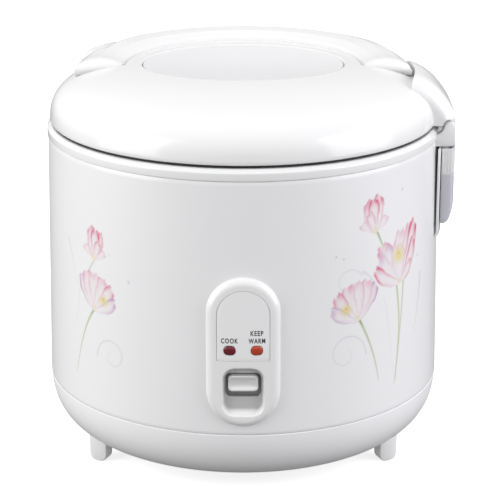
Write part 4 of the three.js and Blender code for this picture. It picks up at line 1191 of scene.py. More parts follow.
def build_hinge_cover():
    """The lid's shoulder over the hinge: a soft hood, and the knuckle under it."""
    x, z = PIVOT_X, PIVOT_Z
    half = 30.8
    crest = [(103.5, z + 30.6), (107.0, z + 30.2), (110.4, z + 28.9), (114.0, z + 26.9), (117.6, z + 24.3),
             (121.0, z + 21.2), (124.4, z + 17.3), (127.6, z + 13.0), (130.2, z + 8.6), (132.0, z + 4.6),
             (132.9, z + 1.2), (133.0, z - 2.0)]

    def top_at(px):
        return float(np.interp(px, [p[0] for p in crest], [p[1] for p in crest]))

    def hood(y, inset):
        bottom, corner = z + 4.9, min(1.0, 0.4 * inset)
        start = math.sqrt(max(0.0, 106.9**2 - y * y))
        end = 130.7 - 0.35 * inset
        xs = start + (end - start) * np.sin(np.linspace(0, math.pi / 2, 22))
        line = [(px, max(bottom + 0.2, top_at(px + inset * 0.55) - inset * 0.85)) for px in xs]
        line += [(end, bottom), (125.6, bottom), (123.6, bottom - 1.4), (122.9, bottom - 3.4), (122.5, z + corner),
                 (114.5, z + corner), (start + 0.4, z + corner), (start, z + 0.6 + corner)]
        return [(px, y, pz) for px, pz in line]

    stations = [(-half, 9.0), (-half + 0.15, 7.9), (-half + 0.5, 6.7), (-half + 1.2, 5.3), (-half + 2.2, 4.0),
                (-half + 3.6, 2.7), (-half + 5.6, 1.5), (-half + 8.0, 0.6), (-half + 11.0, 0.1), (-10, 0.0), (0, 0.0),
                (10, 0.0)]
    stations += [(-y, inset) for y, inset in reversed(stations[:9])]
    upper = lofted("upper", [hood(y, inset) for y, inset in stations], white(), sharp=40)

    between = half - 6.4 - 0.6
    tail = [(z + 9.0, 121.0), (z + 1.0, 121.9), (z - 2.6, 123.2), (z - 4.6, 125.4), (z - 4.9, 126.8), (z - 4.6, 128.4),
            (z - 3.8, 129.6), (z - 2.8, 130.3), (z - 1.4, 130.7), (z + 1.2, 130.8), (z + 4.6, 130.8), (z + 8.6, 130.0),
            (z + 10.0, 129.3)]
    middle = np.array([127.0, z + 2.0])
    stations = ((-between, 0.7), (-between + 0.25, 0.2), (-between + 0.7, 0), (between - 0.7, 0),
                (between - 0.25, 0.2), (between, 0.7))
    rings = prism([(px, pz) for pz, px in tail], stations, middle, 4.0)
    lower = lofted("lower", rings, white(), sharp=40)
    cut(lower, [rod("gap", x, z, 5.5, -9.2, 9.2, 28, white())], sharp=40)
    cover = joined("hinge_hood", [upper, lower], white())
    settled(cover, "lid", "gloss_white", "hinge_cover")


def build_dish():
    """The oval bowl in the lid's crown, with a soft lip, and the steam cap in its front half."""
    a, top = DISH_A - 0.4, float(RIM + dome(DISH_A) - 0.5)
    depth = 14.1
    floor = top - depth
    shares = [0, 0.12, 0.25, 0.38, 0.5, 0.6, 0.68, 0.75, 0.81, 0.86, 0.9, 0.93, 0.955, 0.975, 0.99, 1.0]
    upper = [(s * a, floor + depth * s**4) for s in shares]
    under = [(s * (a - 0.5), floor + depth * s**4 - 1.8) for s in shares]
    line = under + [(a, top - 0.9)] + upper[::-1]
    sides = 128
    points = []
    for r, z in line:
        for k in range(sides):
            angle = 2 * math.pi * k / sides
            # near the rim the lip follows the opening's own height round the dome
            lift = float(RIM + dome(oval(angle)) - 0.9) - top
            share = float(smooth((r / a - 0.7) / 0.3))
            points.append((r * math.cos(angle), r * DISH_B / DISH_A * math.sin(angle), z + lift * share))
    bowl = finish("dish_satin", tuple(colours().dish), 0.3, spread=0.01, mottle=30.0, grain=1400.0, bump=0.04)
    dish = piece("oval_dish", points, revolved_faces(line, sides), bowl, sharp=50)
    settled(dish, "lid", "panel_grey", "dish_insert")

    cap_low, cap_high = box_mm("steam_vent_cap")
    y = (cap_low[1] + cap_high[1]) / 2
    under_cap = cap_high[2] - 1.6
    outline = filleted([
        (4.2, cap_low[2], 0.2), (6.0, cap_low[2], 0.2), (6.0, under_cap, 0), (12.0, under_cap, 0.4),
        (12.0, under_cap + 0.9, 0.5), (9.5, cap_high[2], 1.0), (4.2, cap_high[2], 0.5),
    ], 4)
    cap = turned("steam_cap", outline, white(), sides=72, centre=(0, y))
    settled(cap, "lid", "gloss_white", "steam_vent_cap")


# ---------------------------------------------------------------- carry handle and release button
def build_handle():
    low = HANDLE_LOW[2]
    inner_r, outer_r = 74.2, 105.5
    pivot_y, end_r = 5.2, 4.9
    pivot_z = low + end_r
    section = filleted([
        (inner_r, 0, 1.0), (outer_r, 0, 0.9), (outer_r, 4.6, 1.6), (103.9, 8.4, 2.6), (99.0, 11.7, 4.5),
        (90.5, 13.9, 7.0), (82.0, 12.8, 5.0), (76.4, 9.8, 3.0), (inner_r, 6.6, 1.2),
    ], 5)
    notch = BUTTON_HALF + math.degrees(1.2 / 97)
    ends = (0.32, 0.45, 0.7, 1.1, 1.7, 2.5, 3.6, pivot_y)
    radial = set(np.round(np.arange(6.0, 174.1, 2.5), 3))
    beside = (-1.2, -0.7, -0.4, -0.2, 0, 0.2, 0.4, 0.7, 1.2)
    marks = {round(BUTTON_ANGLE + s * notch + d, 3) for s in (-1, 1) for d in beside}
    radial = {a for a in radial if min(abs(a - BUTTON_ANGLE - notch), abs(a - BUTTON_ANGLE + notch)) > 1.5} | marks
    columns = [("y", y) for y in ends] + [("a", a) for a in sorted(radial)] + [("y-", y) for y in ends[::-1]]
    rings = []
    for kind, value in columns:
        loop = []
        # the bar thins towards its pivots, where it turns inside the lid's slots
        from_axis = value if kind != "a" else inner_r * math.sin(math.radians(value))
        thick = 0.79 + 0.21 * float(smooth((from_axis - 12) / 30))
        for r, h in section:
            h *= thick
            if kind == "a":
                bite = float(smooth((notch + 0.35 - abs(value - BUTTON_ANGLE)) / 0.7))
                if r > 95.2:
                    r += bite * (95.2 + (r - 95.2) * 0.02 - r)
                a = math.radians(value)
                z = low + h
            else:
                a = math.asin(value / r)
                if kind == "y-":
                    a = math.pi - a
                swell = math.sqrt(max(0.0, end_r**2 - (pivot_y - value) ** 2))
                # the section closes to the round end about the pivot
                t = (pivot_y - value) / (pivot_y - ends[0])
                full = low + h
                z = pivot_z + (full - pivot_z) * (swell / end_r)
                if full > pivot_z:
                    top_here = pivot_z + (full - pivot_z) * (1 - 0.12 * t)
                    z = pivot_z + (top_here - pivot_z) * (swell / end_r)
            loop.append((r * math.cos(a), r * math.sin(a), z))
        rings.append(loop)
    handle = lofted("folding_handle", rings, white(), sharp=40)
    settled(handle, "handle", "gloss_white", "carry_handle")


def build_button():
    """The lid's release button: a crowned block that stands up out of the lid behind the left end."""
    inner_r, outer_r = 97.0, 113.0
    middle = (inner_r + outer_r) / 2
    long = math.radians(2 * BUTTON_HALF) * middle
    outline = rounded_rect(long, outer_r - inner_r, 3.2, steps=8)
    top = BUTTON_HIGH[2]

    def where(u, v, z):
        r = middle + v
        a = math.radians(BUTTON_ANGLE) + u / middle
        return (r * math.cos(a), r * math.sin(a), z)

    def front(u, v, share):
        crown = 2.6 * (u / (long / 2)) ** 2 + 2.4 * max(0.0, v / 8) ** 2 + 0.7 * max(0.0, -v / 8) ** 2
        soft = 2.2 * (1 - (1 - min(1.0, max(0.0, (share - 0.72) / 0.28)) ** 2) ** 0.5)
        groove = 0.35 * math.exp(-((u / 1.6) ** 2)) * (1 - share**4)
        return where(u, v, top - crown - soft - groove)

    def back(u, v):
        return where(u, v, BUTTON_LOW[2] + 4.1)

    button = pad("lid_release", outline, front, back, white(), rings=22, power=0.75, sharp=50)
    settled(button, "button", "gloss_white", "release_button")


# ---------------------------------------------------------------- dew collector
def build_collector():
    half = (CUP_HIGH[1] - CUP_LOW[1]) / 2
    x0, x1 = CUP_LOW[0], CUP_HIGH[0]
    z0, z1 = CUP_LOW[2], CUP_HIGH[2]
    wall, corner, band = 1.1, 5.0, 16.6

    def loop(y, inset, top):
        low = z0 + inset
        right = x1 - inset
        bend, rise = corner - inset, 12.0 - inset
        line = [(x0 + inset, top), (x0 + inset, low + 0.6), (x0 + inset + 0.6, low)]
        for a in np.linspace(-math.pi / 2, 0, 9):
            line.append((right - bend + bend * math.cos(a), low + rise + rise * math.sin(a)))
        line.append((right, top))
        return [(px, y, pz) for px, pz in line]

    rings = []
    for y, inset in ((-half, 1.3), (-half + 0.2, 0.7), (-half + 0.6, 0.2), (-half + 1.3, 0.0),
                     (half - 1.3, 0.0), (half - 0.6, 0.2), (half - 0.2, 0.7), (half, 1.3)):
        rings.append(loop(y, inset, z1))
    smoky = finish("smoky_clear_plastic", tuple(colours().cup), 0.3, spread=0.05, mottle=60.0, grain=1400.0, bump=0.08,
                   Transmission_Weight=0.25, IOR=1.49)
    cup = lofted("cup_body", rings, smoky, sharp=35)
    hollow = lofted("hollow", [loop(y, wall, z1 + 4) for y in (-half + wall, half - wall)], smoky)
    rear = block("rear", (x0 - 3, -half + wall, z1 - 18.3), (x0 + 2.6, half - wall, z1 + 5), 0.2, smoky)
    cut(cup, [hollow, rear], sharp=35)
    settled(curved(cup), "collector", "smoky_clear", "dew_collector")

    # the cup's white mouth band, with upright ribs round its outside
    parts = [
        block("front", (x0 + 0.35, -half - 0.05, z1 - band), (x1 - 0.4, -half + 0.5, z1), 0.2, white()),
        block("rear", (x0 + 0.35, half - 0.5, z1 - band), (x1 - 0.4, half + 0.05, z1), 0.2, white()),
        block("side", (x1 - 0.55, -half, z1 - band), (x1 - 0.02, half, z1), 0.2, white()),
    ]
    band_piece = joined("cup_mouth_band", parts, white())
    settled(curved(band_piece), "collector", "gloss_white")
    ribs = rib_row("cup_grip_ribs", 18, half * 2 - 5, 0.55, 0.9, band - 2.0, at(x1 - 0.08, 0, z1 - band / 2))
    settled(curved(ribs), "collector", "gloss_white")
    ends = rib_row("cup_end_ribs", 4, 4.8, 0.5, 0.7, band - 2.0,
                   at((x0 + x1) / 2, -half + 0.02, z1 - band / 2) @ Matrix.Rotation(math.pi / 2, 4, "Z"))
    settled(curved(ends), "collector", "gloss_white")

    plate = block("collector_back", tuple(PLATE_LOW), tuple(PLATE_HIGH), 0.7, white())
    settled(curved(plate), "root", "gloss_white", "collector_plate")
    low, high = box_mm("collector_holder")
    holder = block("holder_rail", tuple(low), (low[0] + 2.6, high[1], high[2]), 0.5, white())
    settled(curved(holder), "root", "gloss_white", "collector_holder")
    fins = rib_row("holder_fins", 8, high[1] - low[1] - 9, 2.0, high[0] - low[0] - 0.4, high[2] - low[2] - 0.6,
                   at((low[0] + high[0]) / 2 + 0.1, 0, (low[2] + high[2]) / 2))
    settled(curved(fins), "root", "gloss_white")
    foot_z = PLATE_HIGH[2]
    back_x = PLATE_LOW[0]
    # A dark plastic block behind the plate; its darkness stands in for the shade in the narrow gap between drum and
    # plate (painted shade).
    gap_shade_block = block("dark_block_for_gap_shade", (back_x - 4.2, -18, foot_z - 13.5), (back_x + 0.2, 18, foot_z - 2.2), 0.4, dark())
    settled(gap_shade_block, "root", "dark_plastic")


def rib_tree():
    """A row of rounded upright ribs along Y."""
    if "upright_ribs" in bpy.data.node_groups:
        return bpy.data.node_groups["upright_ribs"]
    tree, given, result = grower("upright_ribs", [
        ("Count", "count", 8), ("Span", "length", 0.05), ("Thickness", "length", 0.001), ("Depth", "length", 0.001),
        ("Height", "length", 0.01),
    ])
    line = add(tree, "GeometryNodeMeshLine", {"Count": given.outputs["Count"]}, mode="END_POINTS")
    for label, sign in (("Start Location", -0.5), ("Offset", 0.5)):
        half = add(tree, "ShaderNodeMath", {0: given.outputs["Span"], 1: sign}, operation="MULTIPLY")
        place = add(tree, "ShaderNodeCombineXYZ", {"Y": half.outputs[0]})
        tree.links.new(place.outputs[0], line.inputs[label])
    size = add(tree, "ShaderNodeCombineXYZ", {
        "X": given.outputs["Depth"], "Y": given.outputs["Thickness"], "Z": given.outputs["Height"],
    })
    rib = add(tree, "GeometryNodeMeshCylinder", {"Vertices": 12, "Radius": 0.5, "Depth": 1.0})
    shape = add(tree, "GeometryNodeTransform", {"Geometry": rib.outputs["Mesh"], "Scale": size.outputs[0]})
    spread = add(tree, "GeometryNodeInstanceOnPoints", {
        "Points": line.outputs["Mesh"], "Instance": shape.outputs["Geometry"],
    })
    closed_tree(tree, given, result, spread.outputs["Instances"])
    return tree


def rib_row(name, count, span, thick, deep, tall, place):
    values = {"Count": count, "Span": span * MM, "Thickness": thick * MM, "Depth": deep * MM, "Height": tall * MM}
    return grown(name, rib_tree(), values, white(), place, sharp=40)


# ---------------------------------------------------------------- springs and screws
def spring_tree():
    """A round wire wound into a coil about Z."""
    tree, given, result = grower("wound_spring", [
        ("Turns", "length", 6.0), ("Radius", "length", 0.004), ("Height", "length", 0.01), ("Wire", "length", 0.0004),
    ])
    coil = add(tree, "GeometryNodeCurveSpiral", {
        "Resolution": 20, "Rotations": given.outputs["Turns"], "Start Radius": given.outputs["Radius"],
        "End Radius": given.outputs["Radius"], "Height": given.outputs["Height"],
    })
    wire = add(tree, "GeometryNodeCurvePrimitiveCircle", {"Resolution": 8, "Radius": given.outputs["Wire"]})
    sweep = add(tree, "GeometryNodeCurveToMesh", {
        "Curve": coil.outputs["Curve"], "Profile Curve": wire.outputs["Curve"], "Fill Caps": True,
    })
    closed_tree(tree, given, result, sweep.outputs["Mesh"])
    return tree


def build_springs():
    tree = spring_tree()
    for name, node, body, joint, travel, wire, turns in (
        ("release_coil", "button_spring", "lid", "release_press", 2.5, 0.55, 6.0),
        ("sensor_coil", "sensor_spring", "root", "sensor_press", 3.0, 0.6, 4.0),
    ):
        low, high = box_mm(node)
        radius = (high[0] - low[0]) / 2 - wire - 0.1
        tall = high[2] - low[2]
        values = {"Turns": turns, "Radius": radius * MM, "Height": (tall - 2 * wire) * MM, "Wire": wire * MM}
        middle = ((low[0] + high[0]) / 2, (low[1] + high[1]) / 2)
        coil = grown(name, tree, values, steel(), at(*middle, low[2] + wire), sharp=60)
        settled(coil, body, "sheet_steel", node)
        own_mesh(coil)
    low, high = box_mm("hinge_spring")
    wire = 0.8
    values = {"Turns": 9.0, "Radius": ((high[2] - low[2]) / 2 - wire) * MM,
              "Height": (high[1] - low[1] - 2 * wire) * MM, "Wire": wire * MM}
    place = at(PIVOT_X, high[1] - wire, PIVOT_Z) @ Matrix.Rotation(math.pi / 2, 4, "X")
    coil = grown("hinge_coil", tree, values, steel(), place, sharp=60)
    settled(coil, "root", "sheet_steel", "hinge_spring")


def screw_tree():
    """A pan-headed screw with a crossed recess, standing head down."""
    tree, given, result = grower("cross_screw", [("Head", "length", 0.0036), ("Rise", "length", 0.0018)])
    taper = add(tree, "ShaderNodeMath", {0: given.outputs["Head"], 1: 0.8}, operation="MULTIPLY")
    head = add(tree, "GeometryNodeMeshCone", {
        "Vertices": 40, "Side Segments": 1, "Radius Top": given.outputs["Head"],
        "Radius Bottom": taper.outputs[0], "Depth": given.outputs["Rise"],
    })
    sink = add(tree, "GeometryNodeMeshBoolean", {"Mesh 1": head.outputs["Mesh"]}, operation="DIFFERENCE")
    for turn in (0.0, math.pi / 2):
        bar = add(tree, "GeometryNodeMeshCube", {"Size": (0.0034, 0.0008, 0.0018)})
        spin = add(tree, "GeometryNodeTransform", {"Geometry": bar.outputs["Mesh"], "Rotation": (0, 0, turn)})
        tree.links.new(spin.outputs["Geometry"], sink.inputs["Mesh 2"])
    closed_tree(tree, given, result, sink.outputs["Mesh"])
    return tree


def build_screws():
    tree = screw_tree()
    for number in (1, 2, 3):
        node = f"base_screw_{number}"
        low, high = box_mm(node)
        values = {"Head": 3.6 * MM, "Rise": 1.8 * MM}
        place = at((low[0] + high[0]) / 2, (low[1] + high[1]) / 2, low[2])
        screw = grown(f"foot_screw_{number}", tree, values, steel(), place, sharp=30)
        settled(screw, "root", "sheet_steel", node)


# ---------------------------------------------------------------- lid underside, seals and pot
def build_underside():
    grey = finish("liner_grey", tuple(colours().panel), 0.38, spread=0.015, grain=2200.0, bump=0.06)
    low, high = box_mm("lid_liner")
    edge = high[0]
    z = low[2]
    outline = filleted([
        (0, z, 0), (104.0, z, 0.3), (105.0, z + 0.5, 0.3), (108.0, z + 0.5, 0.3), (109.0, z, 0.3), (edge, z, 0.5),
        (edge, z + 2.0, 0.5), (0, z + 2.0, 0),
    ], 3)
    liner = turned("underside_plate", outline, grey, sides=200)
    half = 8.5
    hook = block("hook", (106.7, -half, z - 1), (edge - 1.0, half, z + 5), 0.6, grey)
    steam = turned("steam", [(0, z - 2), (9.0, z - 2), (9.0, z + 5), (0, z + 5)], grey, 48, (0, -17))
    cut(liner, [spun(hook, BUTTON_ANGLE), steam], sharp=30)
    settled(liner, "lid", "panel_grey", "lid_liner")

    # The seal's black rubber ring shows in the gap between lid and ring; its darkness there also stands in for the
    # shade in that gap (painted shade).
    low, high = box_mm("lid_seal")
    edge, z = high[0], low[2]
    seal = turned("lid_seal_and_gap_shade", filleted([
        (117.7, z, 0.3), (edge - 0.5, z, 0.3), (edge - 0.1, z + 0.5, 0.3), (edge - 0.1, high[2], 0.2),
        (117.7, high[2], 0.2),
    ], 3), rubber(), sides=240)
    settled(seal, "lid", "dark_rubber", "lid_seal")

    low, high = box_mm("inner_lid")
    edge, z = high[0], low[2]
    line = [(0, 0), (30, 0), (33, 0), (36, 0.6), (39, 0.6), (42, 0.0), (edge - 19, 0), (edge - 13, 1.0),
            (edge - 9, 2.0), (edge - 2, 2.0), (edge, 2.0)]
    sheet = [(r, z + h) for r, h in line] + [(r, z + h + 0.9) for r, h in line[::-1]]
    brushed = finish("brushed_inner_lid", (0.7, 0.7, 0.71), 0.26, spread=0.05, mottle=50.0, grain=1500.0, bump=0.06,
                     stretch=(1, 1, 0.1), Metallic=1.0)
    inner = turned("inner_lid_disc", sheet, brushed, sides=160, sharp=30)
    hole = turned("hole", [(0, z - 3), (4.0, z - 3), (4.0, z + 6), (0, z + 6)], brushed, 40, (0, -17))
    cut(inner, [hole], sharp=30)
    settled(inner, "lid", "sheet_steel", "inner_lid")

    low, high = box_mm("inner_lid_gasket")
    edge = high[0]
    gasket = turned("pot_gasket", filleted([
        (97.5, low[2] + 0.4, 0.3), (100.0, low[2], 0.6), (edge, low[2] + 0.2, 0.5), (edge, high[2], 0.5),
        (97.5, high[2], 0.3),
    ], 4), silicone(), sides=160)
    settled(gasket, "lid", "silicone", "inner_lid_gasket")


def build_pot():
    low, high = box_mm("inner_pot")
    z0, rim = low[2], high[2]
    radius, wall, corner, lip = 94.0, 1.6, 16.0, high[0]

    def arc(r, count):
        angles = np.linspace(0, math.pi / 2, count)
        return [(radius + wall - corner + r * math.sin(a), z0 + corner - r * math.cos(a)) for a in angles]

    outline = [(0, z0), *arc(corner, 10), (radius + wall, rim - wall - 0.6), (radius + wall + 0.6, rim - wall),
               (lip - 0.6, rim - wall), (lip, rim - wall + 0.5), (lip, rim - 0.4), (lip - 0.5, rim),
               (radius + 1.2, rim), (radius + 0.3, rim - 0.35), (radius, rim - 1.2)]
    outline += [*arc(corner - wall, 10)[::-1], (0, z0 + wall)]
    nonstick = finish("nonstick_coating", (0.045, 0.046, 0.05), 0.42, spread=0.35, mottle=900.0, grain=2600.0, bump=0.2,
                      Metallic=0.35)
    pot = turned("cooking_pot", outline, nonstick, sides=160, sharp=40)
    settled(pot, "root", "nonstick_grey", "inner_pot")
    marks = level_marks("water_level_marks", 6, radius - 0.08, z0 + 30, 12.0)
    settled(marks, "root", "gloss_white")


def level_marks(name, count, radius, low, gap):
    """Short pale lines up the inside of the pot, every second one longer."""
    ink = finish("level_mark_ink", (0.72, 0.72, 0.7), 0.5, spread=0.05, mottle=300.0)
    parts = []
    for k in range(count):
        half = (7.0 if k % 2 == 0 else 4.0) / radius
        z = low + gap * k
        outer, inner = [], []
        for dz in (-0.35, 0.35):
            angles = np.linspace(math.pi / 2 - half, math.pi / 2 + half, 12)
            outer.append([(radius * math.cos(a), radius * math.sin(a), z + dz) for a in angles])
            inner.append([((radius + 0.07) * math.cos(a), (radius + 0.07) * math.sin(a), z + dz) for a in angles])
        parts.append(shell("mark", np.array(outer), np.array(inner), ink))
    return joined(name, parts, ink)


def build_gland():
    low, high = box_mm("cord_gland")
    y0, y1 = low[1], high[1]
    middle = (low[2] + high[2]) / 2
    w, h = high[0] - low[0], high[2] - low[2]
    rings = []
    for y, inset in ((y0, 0.2), (y1 - 1.0, 0.2), (y1 - 0.4, 0.35), (y1, 0.9)):
        shrink_x, shrink_z = 1 - 2 * inset / w, 1 - 2 * inset / h
        rings.append([(x * shrink_x, y, middle + z * shrink_z) for x, z in rounded_rect(w, h, 3.0)])
    gland = lofted("cord_outlet", rings, rubber(), sharp=40)
    cut(gland, [rod("bore", 0, middle, 3.8, y0 + 2.0, y1 + 2, 40, rubber())], sharp=40)
    settled(gland, "root", "dark_rubber", "cord_gland")


# Finishes for the nodes whose own shape stays
KEPT = {
    "bottom_cover": panel_grey, "pot_well": steel, "heating_plate": aluminium, "side_heater_band": None,
    "sensor_cap": aluminium, "magnet": dark, "sensor_holder": steel, "switch_lever": steel, "lever_bracket": steel,
    "lever_pin": steel, "micro_switch": dark, "latch_hook": steel, "latch_pin": steel, "hinge_pin": steel,
    "handle_pin_left": steel, "handle_pin_right": steel, "steam_vent_seal": rubber, "thermal_fuse": silicone,
    "terminal_block": silicone, "lamp_board": None, "cook_lamp": silicone, "warm_lamp": silicone,
    "plate_post_1": steel, "plate_post_2": steel, "plate_post_3": steel,
}


def dress_kept_nodes():
    mica = finish("layered_mica", (0.38, 0.31, 0.18), 0.6, spread=0.25, mottle=200.0, bump=0.2)
    board = finish("board_laminate", (0.05, 0.16, 0.07), 0.45, spread=0.12, mottle=200.0)
    for name, made in KEPT.items():
        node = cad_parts[name]
        coat = made() if made else (mica if name == "side_heater_band" else board)
        node.data.materials.clear()
        node.data.materials.append(coat)


# ---------------------------------------------------------------- studio
def pale_room(settings):
    """Soft light all round: brightest overhead and at the sides, lower in front and dim from below."""
    world = bpy.data.worlds.new("pale_room")
    world.use_nodes = True
    tree = world.node_tree
    place = add(tree, "ShaderNodeTexCoord")
    parts = add(tree, "ShaderNodeSeparateXYZ", {0: place.outputs["Generated"]})
    height = add(tree, "ShaderNodeMapRange", {"Value": parts.outputs["Z"], "From Min": -1})
    ramp = add(tree, "ShaderNodeValToRGB", {"Fac": height.outputs["Result"]})
    stops = (
        (0.0, settings.below), (0.4, settings.below), (0.55, settings.level), (0.8, settings.above),
        (1.0, settings.above),
    )
    while len(ramp.color_ramp.elements) < len(stops):
        ramp.color_ramp.elements.new(0.5)
    for element, (where, tone) in zip(ramp.color_ramp.elements, stops):
        element.position = where
        element.color = (tone, tone, tone, 1)
    away = add(tree, "ShaderNodeMath", {0: parts.outputs["X"]}, operation="ABSOLUTE")
    side = add(tree, "ShaderNodeMath", {0: away.outputs[0], 1: 2.0}, operation="POWER")
    boost = add(tree, "ShaderNodeMath", {0: side.outputs[0], 1: settings.sides, 2: 1.0}, operation="MULTIPLY_ADD")
    scaled = add(tree, "ShaderNodeVectorMath", {0: ramp.outputs["Color"], "Scale": boost.outputs[0]},
                 operation="SCALE")
    tree.links.new(scaled.outputs[0], tree.nodes["Background"].inputs["Color"])
    return world


CAMERA_BACK, CAMERA_UP = 1.22, 0.52  # from the drum's axis and over the floor, in metres


def build_stage():
    scene = bpy.context.scene
    scene.view_settings.view_transform = "Standard"
    scene.view_settings.look = "None"
    scene.view_settings.exposure = 0.0
    settings = scene.cooker_studio

    scene.world = pale_room(settings)

    floor_mesh = bpy.data.meshes.new("studio_floor")
    half = settings.floor_half
    corners = [(-half, -half, 0), (half, -half, 0), (half, half, 0), (-half, half, 0)]
    floor_mesh.from_pydata(corners, [], [(0, 1, 2, 3)])
    paper = bpy.data.materials.new("white_paper")
    paper.use_nodes = True
    shader = paper.node_tree.nodes["Principled BSDF"]
    for socket, value in (
        ("Base Color", (0.92, 0.92, 0.92, 1)), ("Roughness", 0.9), ("Specular IOR Level", 0.1),
        ("Emission Color", (1, 1, 1, 1)), ("Emission Strength", settings.floor_lift),
    ):
        shader.inputs[socket].default_value = value
    floor_mesh.materials.append(paper)
    floor = bpy.data.objects.new("studio_floor", floor_mesh)
    scene.collection.objects.link(floor)
    # the paper is lit for itself, and the room's own low light stands for what it throws back
    floor.visible_diffuse = False
    floor.visible_glossy = False

    for name, power, size, place, aim, tone in (
        ("overhead", settings.key, (1.4, 1.1), (0.0, 0.1, 1.7), (0, 0, 0.15), (1, 1, 1)),
        ("left_wall", settings.left, (1.1, 1.2), (-1.25, -0.5, 0.55), (0, 0, 0.14), (1, 1, 1)),
        ("right_wall", settings.right, (1.1, 1.2), (1.25, -0.45, 0.55), (0, 0, 0.14), (0.955, 0.95, 1.0)),
    ):
        lamp = bpy.data.lights.new(name, "AREA")
        lamp.shape = "RECTANGLE"
        lamp.size, lamp.size_y = size
        lamp.energy = power
        lamp.color = tone
        obj = bpy.data.objects.new(name, lamp)
        obj.location = place
        obj.rotation_euler = (Vector(aim) - Vector(place)).to_track_quat("-Z", "Y").to_euler()
        scene.collection.objects.link(obj)

    camera = bpy.data.cameras.new("front_camera")
    camera.lens = settings.lens
    camera.sensor_width = 36
    camera.shift_x = settings.shift
    view = bpy.data.objects.new("front_camera", camera)
    view.location = (AXIS[0], AXIS[1] - CAMERA_BACK, CAMERA_UP)
    view.rotation_euler = (math.radians(90 - settings.pitch), 0, 0)
    scene.collection.objects.link(view)
    scene.camera = view


# ---------------------------------------------------------------- add-on
class CookerSizes(bpy.types.PropertyGroup):
    panel_edge: FloatProperty(name="Panel edge", description="Width of the panel's soft round edge", default=0.0048,
                              min=0.001, max=0.01, subtype="DISTANCE", unit="LENGTH")
    print_step: FloatProperty(name="Print step", description="Spacing of the points that carry the print",
                              default=0.0006, min=0.0003, max=0.003, subtype="DISTANCE", unit="LENGTH")


class CookerColours(bpy.types.PropertyGroup):
    enamel: FloatVectorProperty(name="Enamel", description="Pearl enamel of the drum", default=(0.87, 0.87, 0.88),
                                subtype="COLOR", min=0, max=1)
    gloss: FloatVectorProperty(name="Gloss white", description="Lid, ring and handle", default=(0.86, 0.86, 0.86),
                               subtype="COLOR", min=0, max=1)
    base: FloatVectorProperty(name="Base white", description="Base and feet", default=(0.90, 0.90, 0.91),
                              subtype="COLOR", min=0, max=1)
    panel: FloatVectorProperty(name="Panel grey", description="Lamp label and underside plate",
                               default=(0.88, 0.88, 0.885), subtype="COLOR", min=0, max=1)
    dish: FloatVectorProperty(name="Dish", description="Bowl in the lid's crown", default=(0.76, 0.76, 0.77),
                              subtype="COLOR", min=0, max=1)
    cup: FloatVectorProperty(name="Cup", description="Dew collector's smoky plastic", default=(0.74, 0.74, 0.80),
                             subtype="COLOR", min=0, max=1)
    cook_lamp: FloatVectorProperty(name="Cook lamp", description="Lens of the cook lamp", default=(0.17, 0.008, 0.02),
                                   subtype="COLOR", min=0, max=1)
    warm_lamp: FloatVectorProperty(name="Warm lamp", description="Lens of the warm lamp", default=(0.52, 0.055, 0.02),
                                   subtype="COLOR", min=0, max=1)


class CookerStudio(bpy.types.PropertyGroup):
    lens: FloatProperty(name="Lens", description="Camera lens in millimetres", default=144, min=20, max=300)
    shift: FloatProperty(name="Shift", description="Sideways shift of the lens", default=0.0136)
    pitch: FloatProperty(name="Pitch", description="Camera's tilt below level, in degrees", default=18.04)
    below: FloatProperty(name="Light from below", description="Room's light from below", default=0.17, min=0)
    level: FloatProperty(name="Level light", description="Room's light at eye level", default=0.68, min=0)
    above: FloatProperty(name="Light from above", description="Room's light from above", default=0.73, min=0)
    sides: FloatProperty(name="Side light", description="How much brighter the room is at its sides",
                         default=0.45, min=0)
    floor_half: FloatProperty(name="Floor", description="Half the floor's width", default=12, min=1,
                              subtype="DISTANCE", unit="LENGTH")
    floor_lift: FloatProperty(name="Floor lift", description="Light that the floor gives off", default=0.62, min=0)
    key: FloatProperty(name="Overhead light", description="Power of the overhead light", default=1.2, min=0,
                       unit="POWER")
    left: FloatProperty(name="Left light", description="Power of the left light", default=12.0, min=0, unit="POWER")
    right: FloatProperty(name="Right light", description="Power of the right light", default=11.5, min=0, unit="POWER")


class COOKER_OT_drum(bpy.types.Operator):
    """Build the enamelled drum with its floral print"""

    bl_idname = "cooker.drum"
    bl_label = "Enamelled drum"

    def execute(self, context):
        build_drum()
        return {"FINISHED"}


class COOKER_OT_ring(bpy.types.Operator):
    """Build the ring round the drum's rim and the hinge bracket on it"""

    bl_idname = "cooker.ring"
    bl_label = "Rim ring and hinge bracket"

    def execute(self, context):
        build_ring()
        build_bracket()
        return {"FINISHED"}


class COOKER_OT_base(bpy.types.Operator):
    """Build the rounded base, its feet, screws and cord outlet"""

    bl_idname = "cooker.base"
    bl_label = "Base and feet"

    def execute(self, context):
        build_base()
        build_feet()
        build_screws()
        build_gland()
        return {"FINISHED"}


class COOKER_OT_panel(bpy.types.Operator):
    """Build the front panel, its label and words, the two lenses and the switch knob"""

    bl_idname = "cooker.panel"
    bl_label = "Front panel"

    def execute(self, context):
        build_bezel()
        build_label()
        build_lenses()
        build_words()
        build_knob()
        return {"FINISHED"}


class COOKER_OT_lid(bpy.types.Operator):
    """Build the domed lid, the hood over its hinge, the dish and the steam cap"""

    bl_idname = "cooker.lid"
    bl_label = "Lid and dish"

    def execute(self, context):
        build_lid()
        build_hinge_cover()
        build_dish()
        return {"FINISHED"}


class COOKER_OT_handle(bpy.types.Operator):
    """Build the folding carry handle and the lid's release button"""

    bl_idname = "cooker.handle"
    bl_label = "Handle and release button"

    def execute(self, context):
        build_handle()
        build_button()
        return {"FINISHED"}


class COOKER_OT_inside(bpy.types.Operator):
    """Build the lid's underside, its seals and the cooking pot"""

    bl_idname = "cooker.inside"
    bl_label = "Underside, seals and pot"

    def execute(self, context):
        build_underside()
        build_pot()
        return {"FINISHED"}


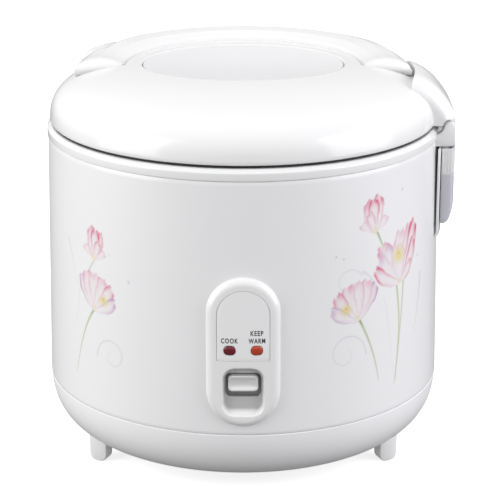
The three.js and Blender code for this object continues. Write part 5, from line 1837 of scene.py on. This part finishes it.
class COOKER_OT_collector(bpy.types.Operator):
    """Build the dew collector, its holder and its back plate"""

    bl_idname = "cooker.collector"
    bl_label = "Dew collector"

    def execute(self, context):
        build_collector()
        return {"FINISHED"}


class COOKER_OT_springs(bpy.types.Operator):
    """Wind the three coil springs"""

    bl_idname = "cooker.springs"
    bl_label = "Springs"

    def execute(self, context):
        build_springs()
        return {"FINISHED"}


class COOKER_OT_kept(bpy.types.Operator):
    """Give the inner parts that keep their own shape a finish each"""

    bl_idname = "cooker.kept"
    bl_label = "Finishes of inner parts"

    def execute(self, context):
        dress_kept_nodes()
        return {"FINISHED"}


class COOKER_OT_stage(bpy.types.Operator):
    """Lay the floor, hang the lights and place the camera"""

    bl_idname = "cooker.stage"
    bl_label = "Studio"

    def execute(self, context):
        build_stage()
        return {"FINISHED"}


STEPS = (
    COOKER_OT_drum, COOKER_OT_ring, COOKER_OT_base, COOKER_OT_panel, COOKER_OT_lid, COOKER_OT_handle,
    COOKER_OT_inside, COOKER_OT_collector, COOKER_OT_springs, COOKER_OT_kept, COOKER_OT_stage,
)


class COOKER_PT_panel(bpy.types.Panel):
    """Sidebar panel with the cooker's settings and building steps"""

    bl_idname = "COOKER_PT_panel"
    bl_label = "Round rice cooker"
    bl_space_type = "VIEW_3D"
    bl_region_type = "UI"
    bl_category = "Cooker"

    def draw(self, context):
        layout = self.layout
        for group in (context.scene.cooker_sizes, context.scene.cooker_colours, context.scene.cooker_studio):
            column = layout.column(align=True)
            for name in group.bl_rna.properties.keys():
                if name not in ("rna_type", "name"):
                    column.prop(group, name)
        column = layout.column(align=True)
        for step in STEPS:
            column.operator(step.bl_idname)


GROUPS = {"cooker_sizes": CookerSizes, "cooker_colours": CookerColours, "cooker_studio": CookerStudio}


def register():
    for made in (*GROUPS.values(), *STEPS, COOKER_PT_panel):
        bpy.utils.register_class(made)
    for name, group in GROUPS.items():
        setattr(bpy.types.Scene, name, PointerProperty(type=group))


def unregister():
    for name in GROUPS:
        delattr(bpy.types.Scene, name)
    for made in reversed((*GROUPS.values(), *STEPS, COOKER_PT_panel)):
        bpy.utils.unregister_class(made)


def main():
    register()
    for step in STEPS:
        getattr(bpy.ops.cooker, step.bl_idname.split(".")[1])()


if __name__ == "__main__":
    main()
